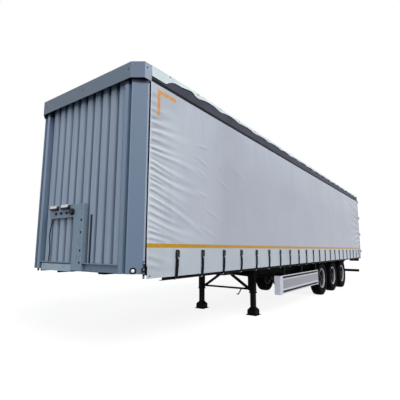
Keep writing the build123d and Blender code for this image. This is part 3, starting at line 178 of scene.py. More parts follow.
def sprayed_post_paint():
    """Blue-grey two-pack paint sprayed on the posts: satin, duller low down, with painted shade on the
    chamfer and a painted highlight at the rear edge.
    """
    material, add, shader, place = new_finish("sprayed_post_paint", Roughness=0.42, Specular_IOR_Level=0.3)
    height = add(SPLIT, {0: place}, out="Z")
    depth = add(SPLIT, {0: place}, out="X")
    low = add(RANGE, {0: height, 1: 3.2, 2: 1.6})
    tone = add(MIX, {0: low, 6: "#75869b", 7: "#697b8d"}, **COLOUR)
    cloud = patches(add, place, 0.5, 4.0, 0.45, 0.7, 0.45)
    tone = add(MIX, {0: cloud, 6: tone, 7: "#66778c"}, **COLOUR)
    # Painted shade on the chamfer, which faces away from the lamps
    bent = add(RANGE, {0: depth, 1: FRONT + 0.041, 2: FRONT + 0.05, 4: 0.75})
    ahead = add(RANGE, {0: depth, 1: FRONT + 0.24, 2: FRONT + 0.25, 3: 1.0, 4: 0.0})
    share = add(MATHS, {0: bent, 1: ahead}, operation="MULTIPLY")
    tone = add(MIX, {0: share, 6: tone, 7: "#5c6c80"}, **COLOUR)
    # A painted highlight along the rear edge
    edge = add(RANGE, {0: depth, 1: FRONT + 0.188, 2: FRONT + 0.198})
    rear = add(RANGE, {0: depth, 1: FRONT + 0.22, 2: FRONT + 0.23, 3: 1.0, 4: 0.0})
    edge_highlight = add(MATHS, {0: edge, 1: rear}, operation="MULTIPLY")
    tone = add(MIX, {0: edge_highlight, 6: tone, 7: "#97a2b2"}, **COLOUR)
    # A painted shadow runs along under the hood's lower edge
    front = add(RANGE, {0: depth, 1: FRONT + 0.25, 2: FRONT + 0.26, 3: 1.0, 4: 0.0})
    under = add(RANGE, {0: height, 1: 3.706, 2: 3.716, 4: 0.95})
    hood_shadow = add(MATHS, {0: under, 1: front}, operation="MULTIPLY")
    add(MIX, {0: hood_shadow, 6: tone, 7: "#222b3e"}, to=shader["Base Color"], **COLOUR)
    grain(add, place, shader, 0.004, 0.0001, 0.4)
    return material


def sprayed_hood_paint():
    """Slate paint sprayed on the folded hood, with dusty patches and painted light: its face shaded darker
    than its bent ends, and its side ends painted bright as if lit.
    """
    material, add, shader, place = new_finish("sprayed_hood_paint", Roughness=0.4, Specular_IOR_Level=0.3)
    depth = add(SPLIT, {0: place}, out="X")
    across = add(SPLIT, {0: place}, out="Y")
    # The face is darker towards its +Y end
    face_gradient = add(RANGE, {0: across, 1: 1.1, 2: -1.1})
    face = add(MIX, {0: face_gradient, 6: "#505d6b", 7: "#5c697a"}, **COLOUR)
    # Painted light: the face is shaded darker than the bent corners, and the side ends are painted bright as
    # if lit
    bend = add(RANGE, {0: depth, 1: FRONT + 0.0005, 2: FRONT + 0.004})
    tone = add(MIX, {0: bend, 6: face, 7: "#5b697d"}, **COLOUR)
    end = add(RANGE, {0: depth, 1: FRONT + 0.110, 2: FRONT + 0.114})
    tone = add(MIX, {0: end, 6: tone, 7: "#a0aab8"}, **COLOUR)
    drawn_out = add(STRETCH, {"Vector": place, "Scale": (3, 3, 12)})
    film = patches(add, drawn_out, 1.0, 4.0, 0.4, 0.75, 0.3)
    add(MIX, {0: film, 6: tone, 7: "#64707f"}, to=shader["Base Color"], **COLOUR)
    grain(add, place, shader, 0.004, 0.0001, 0.4)
    return material


def sprayed_bracket_paint():
    """Blue-grey paint on the folded bracket: greener than the wall, darkest round the couplings."""
    material, add, shader, place = new_finish(
        "sprayed_bracket_paint", Roughness=0.5, Specular_IOR_Level=0.25)
    across = add(SPLIT, {0: place}, out="Y")
    height = add(SPLIT, {0: place}, out="Z")
    beside = add(RANGE, {0: across, 1: 0.079, 2: 0.082})
    high = add(RANGE, {0: height, 1: 1.5, 2: 1.9})
    beam = add(MIX, {0: high, 6: "#8998a7", 7: "#69778a"}, **COLOUR)
    tone = add(MIX, {0: beside, 6: "#6e808f", 7: beam}, **COLOUR)
    grime = patches(add, place, 0.09, 6.0, 0.5, 0.75, 0.55)
    add(MIX, {0: grime, 6: tone, 7: "#4f5e6b"}, to=shader["Base Color"], **COLOUR)
    grain(add, place, shader, 0.004, 0.0001, 0.4)
    return material


def chassis_paint():
    """Black chassis paint over steel: low gloss, with a little grey dust lying in patches."""
    material, add, shader, place = new_finish("chassis_paint", Roughness=0.6, Specular_IOR_Level=0.06)
    dust = patches(add, place, 0.25, 6.0, 0.5, 0.85, 0.6)
    add(MIX, {0: dust, 6: "#040407", 7: "#101116"}, to=shader["Base Color"], **COLOUR)
    grain(add, place, shader, 0.006, 0.0002, 0.5)
    return material


def coated_curtain_cloth():
    """Polyester cloth with a pale grey PVC coat: soft sheen, a fine weave, and clouds of road dust."""
    material, add, shader, place = new_finish(
        "coated_curtain_cloth", Roughness=0.42, Specular_IOR_Level=0.35)
    along = add(SPLIT, {0: place}, out="X")
    height = add(SPLIT, {0: place}, out="Z")
    # Paler towards the front edge and towards the top
    paler_to_front = add(RANGE, {0: along, 1: FRONT + 2.2, 2: FRONT + 0.4})
    tone = add(MIX, {0: paler_to_front, 6: "#aaaeba", 7: "#c3c9d0"}, **COLOUR)
    top = add(RANGE, {0: height, 1: 2.9, 2: 3.7, 4: 0.6})
    tone = add(MIX, {0: top, 6: tone, 7: "#bcc4cd"}, **COLOUR)
    skirt = add(RANGE, {0: height, 1: 1.56, 2: 1.45, 4: 0.8})
    tone = add(MIX, {0: skirt, 6: tone, 7: "#b6bec5"}, **COLOUR)
    cloud = patches(add, place, 1.1, 4.0, 0.42, 0.72, 0.55)
    tone = add(MIX, {0: cloud, 6: tone, 7: "#a2a6b1"}, **COLOUR)
    drawn_out = add(STRETCH, {"Vector": place, "Scale": (9, 9, 1.2)})
    streaks = patches(add, drawn_out, 1.0, 5.0, 0.55, 0.85, 0.3)
    add(MIX, {0: streaks, 6: tone, 7: "#989ca6"}, to=shader["Base Color"], **COLOUR)
    # Threads 0.5 mm apart, drawn 12 mm apart so that they show
    warp = add(WAVE, {"Vector": place, "Scale": bands(0.012)}, out=1, bands_direction="X")
    weft = add(WAVE, {"Vector": place, "Scale": bands(0.012)}, out=1, bands_direction="Z")
    weave = add(MATHS, {0: warp, 1: weft}, operation="MULTIPLY")
    add(BUMP, {"Height": weave, "Distance": 0.00008, "Strength": 0.4}, to=shader["Normal"])
    return material


def welded_yellow_band():
    """Yellow PVC band welded to the curtain: dustier to the rear, soiled in patches."""
    material, add, shader, place = new_finish("welded_yellow_band", Roughness=0.4, Specular_IOR_Level=0.3)
    along = add(SPLIT, {0: place}, out="X")
    dusty = add(RANGE, {0: along, 1: FRONT + 1.3, 2: FRONT + 11.3, 4: 0.8})
    tone = add(MIX, {0: dusty, 6: "#bb8c1c", 7: "#9f7f43"}, **COLOUR)
    soil = patches(add, place, 0.07, 5.0, 0.5, 0.75, 0.7)
    add(MIX, {0: soil, 6: tone, 7: "#9c7423"}, to=shader["Base Color"], **COLOUR)
    return material


def orange_contour_tape():
    """Orange reflective tape, scuffed: 4 mm cells under a clear film, drawn 12 mm wide so that they show."""
    material, add, shader, place = new_finish("orange_contour_tape", Roughness=0.3, Coat_Weight=0.3)
    cells = add(CELLS, {"Vector": place, "Scale": 1 / 0.012})
    share = add(RANGE, {0: cells, 1: 0.2, 2: 0.7})
    tone = add(MIX, {0: share, 6: "#dc9c50", 7: "#c98a45"}, **COLOUR)
    scuff = patches(add, place, 0.03, 6.0, 0.55, 0.7, 0.8)
    add(MIX, {0: scuff, 6: tone, 7: "#c8b49a"}, to=shader["Base Color"], **COLOUR)
    return material


def coated_roof_cloth():
    """White PVC-coated roof sheet: pale green-white, with thin wrinkles and a few dirty streaks."""
    material, add, shader, place = new_finish("coated_roof_cloth", Roughness=0.5, Specular_IOR_Level=0.3)
    shade = patches(add, place, 0.35, 5.0, 0.4, 0.75)
    add(MIX, {0: shade, 6: "#dbe5e5", 7: "#cbd6d7"}, to=shader["Base Color"], **COLOUR)
    drawn_out = add(STRETCH, {"Vector": place, "Scale": (5, 5, 30)})
    wrinkle = add(NOISE, {"Vector": drawn_out, "Scale": 1.0, "Detail": 3.0})
    add(BUMP, {"Height": wrinkle, "Distance": 0.006, "Strength": 0.5}, to=shader["Normal"])
    return material


def coated_slate_rail():
    """Slate powder coat on the extruded cant rail: even and matt, with painted shade: its open track is
    painted black below.
    """
    material, add, shader, place = new_finish("coated_slate_rail", Roughness=0.6, Specular_IOR_Level=0.15)
    height = add(SPLIT, {0: place}, out="Z")
    shade = patches(add, place, 0.4, 4.0, 0.3, 0.7)
    tone = add(MIX, {0: shade, 6: "#3d3e4b", 7: "#4a4b59"}, **COLOUR)
    # Painted shade: the open track under the rail is painted black
    track = add(RANGE, {0: height, 1: 3.822, 2: 3.815})
    add(MIX, {0: track, 6: tone, 7: "#08080c"}, to=shader["Base Color"], **COLOUR)
    grain(add, place, shader, 0.003, 0.0001, 0.4)
    return material


def extruded_aluminium():
    """Aluminium as it left the die: bright, with fine lines along the bar."""
    material, add, shader, place = new_finish("extruded_aluminium", Metallic=1.0)
    drawn_out = add(STRETCH, {"Vector": place, "Scale": (6, 250, 250)})
    lines = add(NOISE, {"Vector": drawn_out, "Scale": 1.0})
    add(MIX, {0: lines, 6: "#b5b8bc", 7: "#cdcfd2"}, to=shader["Base Color"], **COLOUR)
    add(RANGE, {0: lines, 1: 0.3, 2: 0.7, 3: 0.32, 4: 0.48}, to=shader["Roughness"])
    return material


def woven_webbing():
    """Black polyester webbing: woven ribs across it every 4 mm, drawn every 8 mm so that they show."""
    material, add, shader, place = new_finish("woven_webbing", Roughness=0.8, Specular_IOR_Level=0.1)
    ribs = add(WAVE, {"Vector": place, "Scale": bands(0.008), "Distortion": 1.0}, out=1,
               bands_direction="Z")
    add(MIX, {0: ribs, 6: "#050509", 7: "#0f1018"}, to=shader["Base Color"], **COLOUR)
    add(BUMP, {"Height": ribs, "Distance": 0.0008, "Strength": 0.6}, to=shader["Normal"])
    return material


def pressed_buckle_steel():
    """Pressed steel with a black phosphate finish, worn brighter in spots where it is handled."""
    material, add, shader, place = new_finish("pressed_buckle_steel", Metallic=0.5, Roughness=0.5)
    rub = patches(add, place, 0.03, 4.0, 0.5, 0.75, 0.8)
    add(MIX, {0: rub, 6: "#0e0e13", 7: "#3c3e47"}, to=shader["Base Color"], **COLOUR)
    return material


def zinc_plated_steel():
    """Zinc-plated steel: cool grey, with cloudy patches of uneven gloss."""
    material, add, shader, place = new_finish("zinc_plated_steel", Metallic=0.9)
    cloud = add(NOISE, {"Vector": place, "Scale": 1 / 0.02, "Detail": 5.0})
    add(MIX, {0: cloud, 6: "#85888e", 7: "#b6babf"}, to=shader["Base Color"], **COLOUR)
    add(RANGE, {0: cloud, 1: 0.3, 2: 0.7, 3: 0.3, 4: 0.5}, to=shader["Roughness"])
    return material


def turned_pin_steel():
    """Turned and greased steel of the kingpin: rings left by the tool under a dark film."""
    material, add, shader, place = new_finish("turned_pin_steel", Metallic=1.0)
    rings = add(WAVE, {"Vector": place, "Scale": bands(0.002)}, out=1, bands_direction="Z")
    add(MIX, {0: rings, 6: "#5c5d60", 7: "#7b7c80"}, to=shader["Base Color"], **COLOUR)
    add(RANGE, {0: rings, 3: 0.25, 4: 0.4}, to=shader["Roughness"])
    return material


def faced_plywood():
    """Birch plywood under a brown phenolic film: a pressed mesh, scuffed along the load space."""
    material, add, shader, place = new_finish("faced_plywood", Roughness=0.5)
    drawn_out = add(STRETCH, {"Vector": place, "Scale": (3.5, 50, 50)})
    scuffs = patches(add, drawn_out, 1.0, 5.0, 0.45, 0.8)
    add(MIX, {0: scuffs, 6: "#4d3626", 7: "#7b6048"}, to=shader["Base Color"], **COLOUR)
    # The film's mesh has 5 mm cells
    cells = add(CELLS, {"Vector": place, "Scale": 1 / 0.005}, feature="DISTANCE_TO_EDGE")
    add(BUMP, {"Height": cells, "Distance": 0.0006, "Strength": 0.5}, to=shader["Normal"])
    return material


def moulded_tyre_rubber():
    """Vulcanised black rubber: matt, with a trace of grey dust on the sidewall."""
    material, add, shader, place = new_finish("moulded_tyre_rubber", Roughness=0.85, Specular_IOR_Level=0.05)
    dust = patches(add, place, 0.12, 6.0, 0.5, 0.85)
    add(MIX, {0: dust, 6: "#050507", 7: "#131316"}, to=shader["Base Color"], **COLOUR)
    grain(add, place, shader, 0.003, 0.0003, 0.5)
    return material


def painted_wheel_steel():
    """Silver paint on pressed steel wheels: bright at the rim, the disc and the deep barrel black with brake
    dust and painted shade.
    """
    material, add, shader, place = new_finish("painted_wheel_steel", Metallic=0.3, Roughness=0.45)
    spread = add("ShaderNodeTexCoord", {}, out="Generated")
    from_middle = add(VECTOR, {0: spread, 1: (0.5, 0.5, 0.5)}, operation="SUBTRACT")
    flat = add(VECTOR, {0: from_middle, 1: (1, 0, 1)}, operation="MULTIPLY")
    radius = add(VECTOR, {0: flat}, out="Value", operation="LENGTH")
    dust = patches(add, place, 0.06, 5.0, 0.4, 0.8, 0.6)
    tone = add(MIX, {0: dust, 6: "#b4b3bd", 7: "#8b8a94"}, **COLOUR)
    # Brake dust and painted shade darken the disc and the deep part of the barrel
    disc = add(RANGE, {0: radius, 1: 0.425, 2: 0.405, 4: 0.95})
    across = add(SPLIT, {0: from_middle}, out="Y")
    inward = add(MATHS, {0: across}, operation="ABSOLUTE")
    barrel = add(RANGE, {0: inward, 1: 0.42, 2: 0.30, 4: 0.95})
    brake_dust_and_shade = add(MATHS, {0: disc, 1: barrel}, operation="MAXIMUM")
    add(MIX, {0: brake_dust_and_shade, 6: tone, 7: "#141418"}, to=shader["Base Color"], **COLOUR)
    return material


def anodised_guard_aluminium():
    """Extruded and anodised aluminium side guard: satin grey, with a painted highlight on its ribs, and
    paler at both ends.
    """
    material, add, shader, place = new_finish("anodised_guard_aluminium", Metallic=0.2, Roughness=0.42)
    along = add(SPLIT, {0: place}, out="X")
    plate = add(RANGE, {0: along, 1: GUARD_FROM + 0.002, 2: GUARD_FROM - 0.002})
    drawn_out = add(STRETCH, {"Vector": place, "Scale": (1.5, 100, 100)})
    lines = add(NOISE, {"Vector": drawn_out, "Scale": 1.0})
    tone = add(MIX, {0: lines, 6: "#84858f", 7: "#93949e"}, **COLOUR)
    height = add(SPLIT, {0: place}, out="Z")
    # The ribs beside the two channels stand proud, and a painted highlight makes them pale
    from_middle = add(MATHS, {0: height, 1: GUARD_MIDDLE}, operation="SUBTRACT")
    apart = add(MATHS, {0: from_middle}, operation="ABSOLUTE")
    ribs = add(RANGE, {0: apart, 1: 0.0985, 2: 0.1005, 4: 0.8})
    end = add(RANGE, {0: along, 1: GUARD_TO - 0.002, 2: GUARD_TO + 0.001, 4: 0.8})
    edges = add(MATHS, {0: ribs, 1: end}, operation="MAXIMUM")
    pale = add(MATHS, {0: edges, 1: plate}, operation="MAXIMUM")
    add(MIX, {0: pale, 6: tone, 7: "#c6c9d2"}, to=shader["Base Color"], **COLOUR)
    return material


def brown_guard_tape():
    """Brown-black reflective tape in the guard's two channels: dull, with grime lying in patches."""
    material, add, shader, place = new_finish("brown_guard_tape", Roughness=0.6, Specular_IOR_Level=0.05)
    grime = patches(add, place, 0.15, 5.0, 0.35, 0.65)
    add(MIX, {0: grime, 6: "#3a1c10", 7: "#0c0708"}, to=shader["Base Color"], **COLOUR)
    return material


def moulded_bellows_rubber():
    """Moulded rubber of the air springs: matt, with a bloom."""
    material, add, shader, place = new_finish(
        "moulded_bellows_rubber", Roughness=0.7, Specular_IOR_Level=0.2)
    bloom = add(NOISE, {"Vector": place, "Scale": 1 / 0.05, "Detail": 4.0})
    add(MIX, {0: bloom, 6: "#0c0c0e", 7: "#1b1b1f"}, to=shader["Base Color"], **COLOUR)
    return material


def sheathed_line_rubber():
    """Black EPDM cable sheath, faintly glossy, and the grey cap on the upright pipe."""
    material, add, shader, place = new_finish("sheathed_line_rubber", Roughness=0.45, Specular_IOR_Level=0.2)
    across = add(SPLIT, {0: place}, out="Y")
    height = add(SPLIT, {0: place}, out="Z")
    shade = add(NOISE, {"Vector": place, "Scale": 1 / 0.03, "Detail": 3.0})
    tone = add(MIX, {0: shade, 6: "#08090d", 7: "#15161b"}, **COLOUR)
    high = add(RANGE, {0: height, 1: 1.954, 2: 1.957})
    near = add(RANGE, {0: across, 1: -0.20, 2: -0.25})
    cap = add(MATHS, {0: high, 1: near}, operation="MULTIPLY")
    add(MIX, {0: cap, 6: tone, 7: "#7d8c99"}, to=shader["Base Color"], **COLOUR)
    return material


def gel_coated_door_panel():
    """Pale gel-coated door panel: smooth, with faint upright streaks of dirt."""
    material, add, shader, place = new_finish("gel_coated_door_panel", Roughness=0.35, Coat_Weight=0.15)
    drawn_out = add(STRETCH, {"Vector": place, "Scale": (16, 16, 1)})
    streaks = patches(add, drawn_out, 1.0, 4.0, 0.45, 0.8)
    add(MIX, {0: streaks, 6: "#c6cace", 7: "#aeb3b8"}, to=shader["Base Color"], **COLOUR)
    return material


def moulded_white_lens():
    """Clear moulded lens over a bright reflector: fine upright flutes 5 mm apart, glossy."""
    return fluted_lens("moulded_white_lens", "#eef1f2", "#d5dade", 0.12)


def moulded_red_lens():
    """Red acrylic moulded lens: glossy, with flutes 5 mm apart that deepen its colour."""
    return fluted_lens("moulded_red_lens", "#a01a17", "#6c0d0c", 0.15)


def moulded_amber_lens():
    """Amber acrylic moulded lens: glossy, with flutes 5 mm apart that deepen its colour."""
    return fluted_lens("moulded_amber_lens", "#cf7f1c", "#a85d0e", 0.15)


def cast_lid_aluminium():
    """Cast and tumbled aluminium of the coupling lids: bright, with a sandy grain 3 mm across."""
    material, add, shader, place = new_finish("cast_lid_aluminium", Metallic=0.7)
    specks = grain(add, place, shader, 0.003, 0.0003, 0.5)
    add(MIX, {0: specks, 6: "#b9bdc3", 7: "#dcdfe2"}, to=shader["Base Color"], **COLOUR)
    add(RANGE, {0: specks, 1: 0.3, 2: 0.7, 3: 0.3, 4: 0.45}, to=shader["Roughness"])
    return material


def moulded_socket_polyamide():
    """Moulded black polyamide: low gloss, with a fine grain."""
    material, add, shader, place = new_finish(
        "moulded_socket_polyamide", Roughness=0.5, Specular_IOR_Level=0.2)
    specks = grain(add, place, shader, 0.002, 0.0001, 0.5)
    add(MIX, {0: specks, 6: "#090a0d", 7: "#16171c"}, to=shader["Base Color"], **COLOUR)
    return material


wall_paint = sprayed_wall_paint()
post_paint = sprayed_post_paint()
hood_paint = sprayed_hood_paint()
bracket_paint = sprayed_bracket_paint()
black_paint = chassis_paint()
curtain_cloth = coated_curtain_cloth()
yellow_band = welded_yellow_band()
orange_tape = orange_contour_tape()
roof_cloth = coated_roof_cloth()
slate_rail = coated_slate_rail()
aluminium = extruded_aluminium()
webbing = woven_webbing()
buckle_steel = pressed_buckle_steel()
zinc = zinc_plated_steel()
pin_steel = turned_pin_steel()
plywood = faced_plywood()
tyre_rubber = moulded_tyre_rubber()
wheel_silver = painted_wheel_steel()
guard_metal = anodised_guard_aluminium()
guard_tape = brown_guard_tape()
bellows_rubber = moulded_bellows_rubber()
line_rubber = sheathed_line_rubber()
door_skin = gel_coated_door_panel()
white_lens = moulded_white_lens()
red_lens = moulded_red_lens()
amber_lens = moulded_amber_lens()
lid_metal = cast_lid_aluminium()
socket_plastic = moulded_socket_polyamide()

# The curtain poles take the black paint, partly as painted shade for the dark gap between the front posts
# and the curtains
NODE_FINISH = (
    (black_paint, "main_beams cross_members side_raves coupler_plate curtain_poles landing_gear_legs "
                  "landing_gear_feet landing_gear_braces guard_hangers axles suspension_hangers "
                  "trailing_arms rear_bumper"),
    (wall_paint, "front_wall"),
    (post_paint, "front_posts front_sill rear_frame"),
    (hood_paint, "front_hood"),
    (bracket_paint, "service_bracket"),
    (slate_rail, "cant_rails"),
    (aluminium, "roof_bows side_posts"),
    (guard_metal, "side_guards"),
    (plywood, "deck_floor"),
    (pin_steel, "kingpin"),
    (door_skin, "rear_door_left rear_door_right"),
    (zinc, "strap_hooks door_hinges_left door_hinges_right lock_bars_left lock_bars_right"),
    (socket_plastic, "service_couplings front_marker_lamps rear_lamps"),
    (line_rubber, "service_lines"),
    (wheel_silver, "wheel_left_1 wheel_right_1 wheel_left_2 wheel_right_2 wheel_left_3 wheel_right_3"),
)
for finish, names in NODE_FINISH:
    for name in names.split():
        nodes[name].data.materials.clear()
        nodes[name].data.materials.append(finish)


# Mesh tools

def piece(name, points, faces, finishes, slot, body="trailer", stands_for=(), smooth=True,
          finish_of_face=None):
    """A mesh piece in the part's frame, riding on a body."""
    mesh = bpy.data.meshes.new(name)
    mesh.from_pydata([tuple(p) for p in points], [], [tuple(f) for f in faces])
    for finish in finishes:
        mesh.materials.append(finish)
    if finish_of_face is not None:
        mesh.polygons.foreach_set("material_index", finish_of_face)
    if smooth:
        mesh.shade_smooth()
    mesh.update()
    made = bpy.data.objects.new(name, mesh)
    bpy.context.scene.collection.objects.link(made)
    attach(made, body)
    if stands_for:
        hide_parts(*stands_for)
    return made


class Heap:
    """Points and faces of many small solids, gathered for one piece."""

    def __init__(self):
        self.points = []
        self.faces = []
        self.finish = []

    def add(self, points, faces, finish=0):
        base = len(self.points)
        self.points += [tuple(p) for p in points]
        self.faces += [tuple(base + i for i in f) for f in faces]
        self.finish += [finish] * len(faces)

    def made(self, name, finishes, smooth=False, **rest):
        return piece(name, self.points, self.faces, finishes, smooth=smooth,
                     finish_of_face=self.finish, **rest)


def grid_faces(rows, columns, turned=False):
    """Quads over points laid out row by row."""
    faces = []
    for r in range(rows - 1):
        for c in range(columns - 1):
            a = r * columns + c
            face = (a, a + 1, a + columns + 1, a + columns)
            faces.append(face[::-1] if turned else face)
    return faces


def loops(rings, count, closed=False):
    """Quads between rings of count points each, and from the last ring to the first if closed."""
    faces = []
    for k in range(rings if closed else rings - 1):
        a, b = count * k, count * ((k + 1) % rings)
        faces += [(a + i, a + (i + 1) % count, b + (i + 1) % count, b + i) for i in range(count)]
    return faces


def bar(points):
    """A bar's points, four to each step along it, with the faces that close it."""
    steps = len(points) // 4
    last = 4 * (steps - 1)
    return points, loops(steps, 4) + [(3, 2, 1, 0), (last, last + 1, last + 2, last + 3)]


def turned_solid(profile, centre, axis, segments):
    """Points and faces of a profile of (along, radius) pairs turned about an axis through centre."""
    axis = Vector(axis).normalized()
    side = axis.orthogonal().normalized()
    other = axis.cross(side)
    points = []
    for k in range(segments):
        angle = 2 * math.pi * k / segments
        out = side * math.cos(angle) + other * math.sin(angle)
        points += [Vector(centre) + axis * along + out * radius for along, radius in profile]
    n = len(profile)
    faces = []
    for k in range(segments):
        a, b = k * n, ((k + 1) % segments) * n
        faces += [(a + i, b + i, b + i + 1, a + i + 1) for i in range(n - 1)]
    faces.append([k * n for k in range(segments)][::-1])
    faces.append([k * n + n - 1 for k in range(segments)])
    return points, faces


def ring(centre, radius, count, first=0.0):
    """Places spaced evenly round a circle that faces sideways."""
    x, y, z = centre
    angles = [2 * math.pi * (k + first) / count for k in range(count)]
    return [(x + radius * math.cos(angle), y, z + radius * math.sin(angle)) for angle in angles]


def rounded_box(centre, size, edge):
    """A box whose edges are rounded by edge, as points and faces."""
    mesh = bmesh.new()
    bmesh.ops.create_cube(mesh, size=1.0)
    bmesh.ops.scale(mesh, vec=Vector(size), verts=mesh.verts)
    bmesh.ops.bevel(mesh, geom=mesh.edges[:], offset=edge, segments=2, affect="EDGES", profile=0.7)
    mesh.verts.ensure_lookup_table()
    points = [v.co + Vector(centre) for v in mesh.verts]
    faces = [[v.index for v in f.verts] for f in mesh.faces]
    mesh.free()
    return points, faces


# Curtains: stretched cloth with creases that fan out from the front edge

CREASES = (  # height at the front edge, slope, length, width in mm, depth in mm
    (3.62, -0.01, 0.38, 40, 7), (3.49, 0.01, 0.30, 34, 8), (3.375, 0.03, 0.44, 30, 9),
    (3.29, 0.05, 0.30, 24, 8), (3.18, 0.10, 0.36, 24, 13),
    (3.06, 0.055, 0.55, 22, 13), (2.95, 0.00, 0.34, 18, 10), (2.84, -0.08, 0.52, 20, 14),
    (2.77, -0.094, 0.85, 20, 14), (2.65, -0.233, 0.62, 18, 15), (2.57, -0.20, 0.42, 15, 11),
    (2.48, -0.18, 0.80, 20, 16), (2.42, -0.21, 0.40, 14, 10), (2.36, -0.226, 0.55, 18, 14),
    (2.27, -0.26, 0.45, 16, 11), (2.17, -0.333, 0.90, 20, 16), (2.07, -0.277, 0.50, 18, 12),
    (1.97, -0.27, 0.55, 17, 10), (1.87, -0.263, 0.80, 22, 13), (1.79, -0.22, 0.45, 16, 9),
    (1.72, -0.155, 0.72, 20, 11), (1.63, -0.12, 0.50, 18, 8), (1.40, -0.267, 0.50, 26, 7),
    (1.28, -0.10, 0.60, 28, 5),
)
REAR_CREASES = (  # height at the rear edge, slope, length, width in mm, depth in mm
    (3.55, 0.20, 0.90, 35, 17), (3.33, 0.12, 1.30, 40, 19), (3.12, 0.22, 0.95, 34, 19),
    (2.92, 0.16, 1.60, 42, 21), (2.70, 0.10, 1.10, 36, 19), (2.50, 0.02, 1.40, 40, 20),
    (2.30, -0.08, 1.00, 34, 18), (2.10, -0.14, 1.50, 40, 19), (1.90, -0.18, 1.00, 32, 17),
    (1.72, -0.20, 1.10, 34, 15),
)
DIMPLES = (  # place from the hood, height, slope, half length, width, depth in mm
    (1.49, 3.14, 0.02, 0.12, 0.022, 6), (1.47, 2.88, -0.3, 0.14, 0.022, 7),
    (1.40, 2.70, -0.3, 0.12, 0.02, 6), (2.13, 2.60, -0.4, 0.14, 0.025, 6),
    (1.47, 2.34, -0.2, 0.14, 0.022, 6), (2.7, 2.9, -0.3, 0.2, 0.04, 5), (3.6, 2.3, -0.3, 0.25, 0.05, 5),
    (1.75, 2.05, -0.35, 0.20, 0.022, 6), (2.0, 2.9, -0.5, 0.10, 0.02, 6), (1.62, 1.75, -0.35, 0.22, 0.03, 6),
    (9.9, 2.95, -1.6, 0.16, 0.12, 14), (10.5, 2.75, -1.4, 0.18, 0.12, 14),
    (11.0, 3.05, -1.6, 0.16, 0.12, 13), (9.4, 2.60, -1.6, 0.16, 0.14, 10),
    (11.6, 2.65, -1.2, 0.2, 0.12, 13),
)
DEEPEST = -0.004
PROUDEST = 0.022                # clears the lock bars of an open door


def crease_relief(into, z, creases):
    """Ridges that fade from the edge inwards, with a trough above the sharp ones and below the rest."""
    relief = np.zeros_like(into)
    for height, slope, length, width, depth in creases:
        bow = 0.035 * np.sin(into * 3.3 + height * 9) * into
        spread = width * 0.001 * (1 + 1.3 * into / length)
        across = (z - (height + slope * into + bow)) / spread
        fade = np.exp(-((into / length) ** 2)) * np.clip(0.2 + into / 0.06, 0, 1)
        trough = 1.7 if depth >= 13 else -1.7
        relief += depth * 0.001 * fade * (np.exp(-(across ** 2)) - 0.6 * np.exp(-((across - trough) ** 2)))
    return relief


def curtain_relief(x, z):
    """How far the cloth stands out from its flat place, in metres, x from the hood."""
    into = x - CLOTH_FROM
    relief = crease_relief(into, z, CREASES)
    relief += crease_relief(CLOTH_TO - x, z, REAR_CREASES)
    for place, height, slope, reach, width, depth in DIMPLES:
        along = x - place
        across = z - height - slope * along
        relief += depth * 0.001 * np.exp(-((along / reach) ** 2) - (across / width) ** 2)
    # Puckers along the front edge, where the pole pulls the cloth
    pucker = np.sin(z * 2 * math.pi / 0.062 + 1.6 * np.sin(z * 7.3)) * np.sin(z * 3.1 + 0.6) ** 2
    pucker *= np.clip(into / 0.03, 0, 1) * np.clip((z - 1.6) / 0.2, 0, 1) * np.clip((3.3 - z) / 0.4, 0.3, 1)
    relief += 0.0030 * np.exp(-into / 0.10) * pucker
    # Slack between straps along the hem, and slow waves over the whole cloth
    low = np.clip((1.6 - z) / 0.4, 0, 1)
    relief += low * 0.005 * np.sin((x - STRAP_FIRST) * 2 * math.pi / STRAP_PITCH + math.pi / 2) ** 3
    relief += 0.0035 * np.sin(x * 1.9 + z * 0.7) * np.sin(z * 2.3 + x * 0.31)
    return relief + 0.005 * np.exp(-into / 0.5) + 0.004 * np.exp(-(CLOTH_TO - x) / 0.8)


def curtain_points(side):
    """Columns along the curtain, rows up it, and each point's place."""
    near = np.concatenate([[0.239, 0.243], np.arange(CLOTH_FROM, 1.5, 0.02)])
    middle = np.arange(1.5, 2.9, 0.04)
    far = np.linspace(2.9, CLOTH_TO, 105)
    x = FRONT + np.union1d(np.round(np.concatenate([near, middle, far]), 4), [*TAPE_UPRIGHT, TAPE_END])
    levels = np.round(np.linspace(CURTAIN_BOTTOM, CURTAIN_TOP, 360), 4)
    z = np.union1d(levels, [*BAND, TAPE_FOOT, *TAPE_LEVEL])
    gx, gz = np.meshgrid(x, z)
    relief = curtain_relief(gx - FRONT, gz)
    # Flat against the rail at the top, and under the straps along the hem
    relief = np.clip(relief * np.clip((CURTAIN_TOP - gz) / 0.06, 0, 1), DEEPEST, PROUDEST)
    tied = np.zeros_like(gx)
    for strap in STRAP_X:
        tied = np.maximum(tied, np.exp(-((gx - strap - 0.005) / 0.06) ** 2))
    tied *= np.clip((1.56 - gz) / 0.08, 0, 1)
    out = CLOTH_Y + np.where(relief > 0, relief * (1 - tied), relief)
    # Round the pole at its front edge
    out -= 0.006 * np.clip((CURTAIN_START - gx) / 0.008, 0, 1) ** 2
    points = np.stack([gx, side * out, gz], axis=-1).reshape(-1, 3)
    return x, z, points


